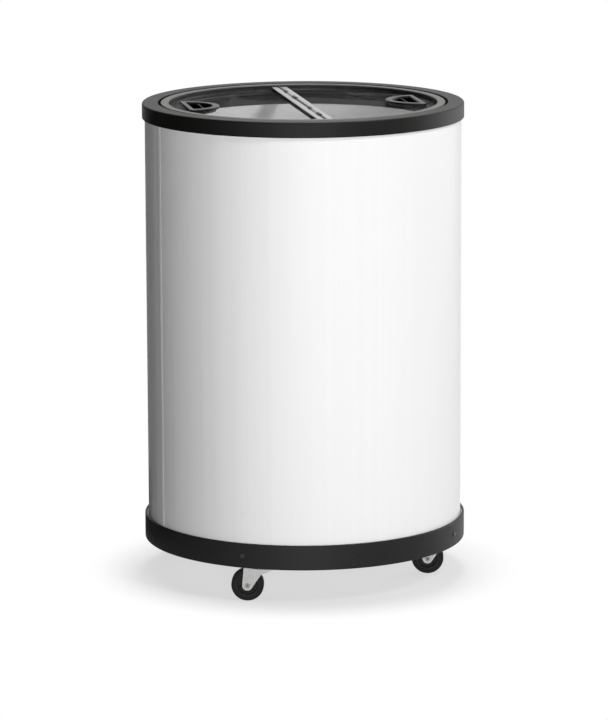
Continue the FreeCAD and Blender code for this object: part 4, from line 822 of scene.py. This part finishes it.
class FREEZER_OT_panes(Operator):
    """Cut the two half-round glass leaves with their openings and ground edges"""

    bl_idname = "freezer.panes"
    bl_label = "Glass Leaves"

    def execute(self, context):
        for side in SIDES:
            self.pane(context.scene.freezer, side)
        return {"FINISHED"}

    def outline(self, settings, z):
        """Flat left leaf with its opening, made as one half and mirrored."""
        lids = settings.lids
        bm = bmesh.new()
        level = Matrix.Translation((0, 0, z))
        steps = settings.cabinet.steps
        bmesh.ops.create_circle(bm, cap_ends=True, segments=steps, radius=lids.pane_radius, matrix=level)
        joined(bm, half_round(lids, lids.cup_lap, lids.cup_lap, z))
        for point, away in (((-lids.pane_side, 0, z), (1, 0, 0)), ((0, 0, z), (0, -1, 0))):
            geom = bm.verts[:] + bm.edges[:] + bm.faces[:]
            bmesh.ops.bisect_plane(bm, geom=geom, plane_co=point, plane_no=away, clear_outer=True)
        cut = [edge for edge in bm.edges if all(abs(vert.co.y) < TINY for vert in edge.verts)]
        bmesh.ops.delete(bm, geom=bm.faces[:], context="FACES_ONLY")
        bmesh.ops.delete(bm, geom=cut, context="EDGES")
        ends = sorted((vert for vert in bm.verts if abs(vert.co.y) < TINY), key=lambda vert: vert.co.x)
        bm.edges.new(ends[:2])
        bm.edges.new(ends[2:])
        bmesh.ops.edgeloop_fill(bm, edges=bm.edges[:])
        bmesh.ops.mirror(bm, geom=bm.verts[:] + bm.edges[:] + bm.faces[:], axis="Y", merge_dist=TINY)
        return bm

    def pane(self, settings, side):
        """Leaf of one side, from its outline and the glass's thickness."""
        low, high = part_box(side + "_glass")
        bm = self.outline(settings, low.z)
        made = bmesh.ops.extrude_face_region(bm, geom=bm.faces[:])
        top = [item for item in made["geom"] if isinstance(item, bmesh.types.BMVert)]
        bmesh.ops.translate(bm, vec=UP * (high.z - low.z), verts=top)
        closed(bm)
        sharp = [edge for edge in bm.edges if edge.is_manifold and edge.calc_face_angle() > SMOOTH_ANGLE]
        rounded(bm, sharp, settings.lids.pane_edge, segments=2)
        for face in bm.faces:
            face.material_index = int(abs(face.normal.z) < LEVEL_RISE)
        if side == "right":
            mirrored(bm)
        finished("pane_" + side, bm, side + "_lid", "glass", side + "_glass", second="glass_edge")


class FREEZER_OT_cups(Operator):
    """Mould the two finger cups with their raised rims and ribs"""

    bl_idname = "freezer.cups"
    bl_label = "Finger Cups"

    def execute(self, context):
        for side in SIDES:
            self.cup(context.scene.freezer.lids, side)
        return {"FINISHED"}

    def cup(self, lids, side):
        """Cup of one side: loops from the well's floor over the rim to the underside, and the rib."""
        low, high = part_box(side + "_grip")
        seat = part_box(side + "_glass")[1].z
        floor = low.z + lids.cup_wall
        under = lids.cup_lap + lids.cup_gap
        levels = [
            (lids.cup_rim + lids.cup_wall, lids.cup_arc_rim + lids.cup_wall, floor),
            (lids.cup_rim, lids.cup_arc_rim, high.z),
            (0, 0, high.z),
            (0, 0, seat),
            (under, under, seat),
            (under, under, low.z),
        ]
        bm = bmesh.new()
        loops = []
        for level in levels:
            made = len(bm.edges)
            joined(bm, half_round(lids, *level))
            loops.append(bm.edges[made:])
        bmesh.ops.delete(bm, geom=bm.faces[1:-1], context="FACES_ONLY")
        for above, below in zip(loops, loops[1:]):
            bmesh.ops.bridge_loops(bm, edges=above + below)
        closed(bm)
        rim = [edge for edge in bm.edges if all(abs(vert.co.z - high.z) < TINY for vert in edge.verts)]
        rim = [edge for edge in rim if edge.is_manifold and edge.calc_face_angle() > SMOOTH_ANGLE]
        rounded(bm, rim, lids.cup_edge, segments=3)
        rib = (lids.cup_wall, lids.rib_length, lids.rib_height)
        rib_x = lids.cup_rim + lids.rib_inset + lids.cup_wall / 2 - lids.cup_side
        centre = Vector((rib_x, 0, floor + lids.rib_height / 2))
        joined(bm, block(rib, centre, edge=lids.rib_edge))
        if side == "right":
            mirrored(bm)
        even_normals(finished("cup_" + side, bm, side + "_lid", "grip_plastic", side + "_grip"))


class FREEZER_OT_wheels(Operator):
    """Turn the four tyres and their ribbed hubs"""

    bl_idname = "freezer.wheels"
    bl_label = "Wheels"

    def execute(self, context):
        wheels = context.scene.freezer.wheels
        for joint in frame["joints"]:
            if joint["child"].startswith("wheel_"):
                self.wheel(wheels, joint)
        return {"FINISHED"}

    def wheel(self, wheels, joint):
        """Tyre and hub of one wheel, turned about Z and then laid on the wheel's joint."""
        number = joint["child"][-1]
        turn = UP.rotation_difference(Vector(joint["axis"])).to_matrix().to_4x4()
        place = Matrix.Translation(joint["pos_m"]) @ turn
        half, inner = wheels.width / 2, wheels.radius - wheels.tyre
        tyre = turned([
            (inner + wheels.tyre_gap, -half, 0),
            (wheels.radius, -half, wheels.shoulder),
            (wheels.radius, half, wheels.shoulder),
            (inner + wheels.tyre_gap, half, 0),
        ], wheels.steps)
        rim, hollow = half - wheels.rim_inset, inner - wheels.rim
        hub = turned([
            (wheels.bore, -wheels.boss_reach, 0),
            (wheels.boss, -wheels.boss_reach, wheels.hub_edge),
            (wheels.boss, -wheels.web / 2, 0),
            (hollow, -wheels.web / 2, 0),
            (hollow, -rim, wheels.hub_edge),
            (inner, -rim, 0),
            (inner, rim, 0),
            (hollow, rim, wheels.hub_edge),
            (hollow, wheels.web / 2, 0),
            (wheels.boss, wheels.web / 2, 0),
            (wheels.boss, wheels.boss_reach, wheels.hub_edge),
            (wheels.bore, wheels.boss_reach, 0),
        ], wheels.steps)
        reach = hollow - wheels.boss + 2 * wheels.rib_root
        size = Vector((reach, wheels.rib, 2 * (rim - wheels.rib_drop)))
        centre = Vector((wheels.boss - wheels.rib_root + reach / 2, 0, 0))
        for index in range(wheels.ribs):
            spin = Matrix.Rotation(index * math.tau / wheels.ribs, 4, "Z")
            joined(hub, block(size, spin @ centre, spin, wheels.rib_edge))
        for bm in (tyre, hub):
            bmesh.ops.transform(bm, matrix=place, verts=bm.verts[:])
        body = joint["child"]
        even_normals(finished("tyre_" + number, tyre, body, "tyre_rubber", "caster_tyre_" + number))
        even_normals(finished("wheel_hub_" + number, hub, body, "wheel_plastic", "caster_hub_" + number))


class FREEZER_OT_studio(Operator):
    """Lay the floor and set the lamps and the camera"""

    bl_idname = "freezer.studio"
    bl_label = "Studio"

    def execute(self, context):
        studio = context.scene.freezer.studio
        self.floor(studio)
        self.world(context.scene, studio.ambient)
        for name, (turn, distance, height, side) in LAMPS.items():
            spot = at(distance, studio.azimuth + math.radians(turn), height)
            self.lamp(name, spot, side, getattr(studio, name + "_watts"))
        self.card(studio.azimuth + CARD_TURN)
        self.camera(context.scene, studio)
        context.scene.view_settings.view_transform = "Standard"
        return {"FINISHED"}

    def camera(self, scene, studio):
        """Camera with a long lens at the photograph's viewing angle."""
        camera = bpy.data.objects.new("camera", bpy.data.cameras.new("camera"))
        camera.data.sensor_fit = "VERTICAL"
        camera.data.lens = studio.focal * camera.data.sensor_height / IMAGE_HEIGHT
        spot = at(studio.distance, studio.azimuth, studio.height)
        place = Matrix.Translation(spot) @ Matrix.Rotation(studio.azimuth, 4, "Z")
        lean = Matrix.Rotation(math.pi / 2 - studio.tilt, 4, "X") @ Matrix.Rotation(studio.roll, 4, "Z")
        camera.matrix_world = place @ lean
        scene.collection.objects.link(camera)
        scene.camera = camera

    def lamp(self, name, spot, side, watts):
        """Square soft lamp that looks at the middle of the cabinet."""
        data = bpy.data.lights.new(name, "AREA")
        data.energy = watts
        data.size = side
        lamp = bpy.data.objects.new(name, data)
        lamp.location = spot
        lamp.rotation_euler = (LAMP_AIM - spot).to_track_quat("-Z", "Y").to_euler()
        bpy.context.scene.collection.objects.link(lamp)

    def staged(self, name, bm, material):
        """Object of the stage from a bmesh."""
        mesh = bpy.data.meshes.new(name)
        bm.to_mesh(mesh)
        bm.free()
        mesh.materials.append(material)
        thing = bpy.data.objects.new(name, mesh)
        bpy.context.scene.collection.objects.link(thing)
        return thing

    def card(self, bearing):
        """Black card beside the cabinet that keeps the white surround off its shaded side."""
        bm = block(CARD_SIZE, UP * (CARD_LIFT + CARD_SIZE.z / 2))
        leaf_x = -(CARD_SIZE.x + CARD_LEAF.x) / 2
        joined(bm, block(CARD_LEAF, Vector((leaf_x, 0, CARD_LEAF.z))))
        turn = Matrix.Rotation(bearing - math.pi / 2, 4, "Z")
        place = Matrix.Translation(at(CARD_DISTANCE, bearing, 0)) @ turn
        bmesh.ops.transform(bm, matrix=place, verts=bm.verts[:])
        black = Finish("black_card", Base_Color=(0.01, 0.01, 0.01, 1), Roughness=0.9)
        self.staged("flag", bm, black.material).visible_camera = False

    def world(self, scene, ambient):
        """White to look at, and dim to light the object."""
        world = bpy.data.worlds.new("studio")
        world.use_nodes = True
        sky = Nodes(world.node_tree)
        strength = ambient + (1 - ambient) * sky.seen()
        sky.plug(sky.tree.nodes["Background"], {"Color": WHITE, "Strength": strength})
        scene.world = world

    def floor(self, studio):
        """Pale floor that looks white and keeps the soft shadow near the object."""
        bm = bmesh.new()
        bmesh.ops.create_circle(bm, cap_ends=True, segments=FLOOR_STEPS, radius=studio.floor_radius)
        look = Finish("pale_floor", Roughness=0.8, Specular_IOR_Level=0.0)
        base = look.tint(look.noise(3.0), (0.57, 0.57, 0.57, 1), (0.59, 0.59, 0.59, 1))
        look.plug(look.shader, {"Base Color": base})
        distance = look.node("ShaderNodeVectorMath", {"operation": "LENGTH"}, {0: look.place()}, "Value")
        rise = look.rise(distance, studio.shade_inner, studio.shade_outer)
        share = look.seen() * (studio.floor_glow + (1 - studio.floor_glow) * rise)
        glow = look.node("ShaderNodeEmission", inputs={"Color": WHITE, "Strength": 1.0})
        lit = Value(look, look.shader.outputs[0])
        surface = look.node("ShaderNodeMixShader", inputs={0: share, 1: lit, 2: glow})
        look.plug(look.tree.nodes["Material Output"], {"Surface": surface})
        self.staged("floor", bm, look.material)


class FREEZER_PT_panel(Panel):
    """The freezer's pieces and settings"""

    bl_idname = "FREEZER_PT_panel"
    bl_label = "Round Freezer"
    bl_space_type = "VIEW_3D"
    bl_region_type = "UI"
    bl_category = "Freezer"

    def draw(self, context):
        for operator in OPERATORS:
            self.layout.operator(operator.bl_idname)
        settings = context.scene.freezer
        for group in (settings.cabinet, settings.lids, settings.wheels, settings.colours, settings.studio):
            column = self.layout.box().column(align=True)
            for name in group.__annotations__:
                column.prop(group, name)


OPERATORS = (
    FREEZER_OT_finishes,
    FREEZER_OT_wrap,
    FREEZER_OT_collar,
    FREEZER_OT_base_band,
    FREEZER_OT_tank,
    FREEZER_OT_lid_frame,
    FREEZER_OT_panes,
    FREEZER_OT_cups,
    FREEZER_OT_wheels,
    FREEZER_OT_studio,
)
GROUPS = (FreezerCabinet, FreezerLids, FreezerWheels, FreezerColours, FreezerStudio, FreezerSettings)


def register():
    for item in GROUPS + OPERATORS + (FREEZER_PT_panel,):
        bpy.utils.register_class(item)
    bpy.types.Scene.freezer = PointerProperty(type=FreezerSettings)


def unregister():
    del bpy.types.Scene.freezer
    for item in reversed(GROUPS + OPERATORS + (FREEZER_PT_panel,)):
        bpy.utils.unregister_class(item)


def main():
    register()
    for operator in OPERATORS:
        group, name = operator.bl_idname.split(".")
        getattr(getattr(bpy.ops, group), name)()


if __name__ == "__main__":
    main()
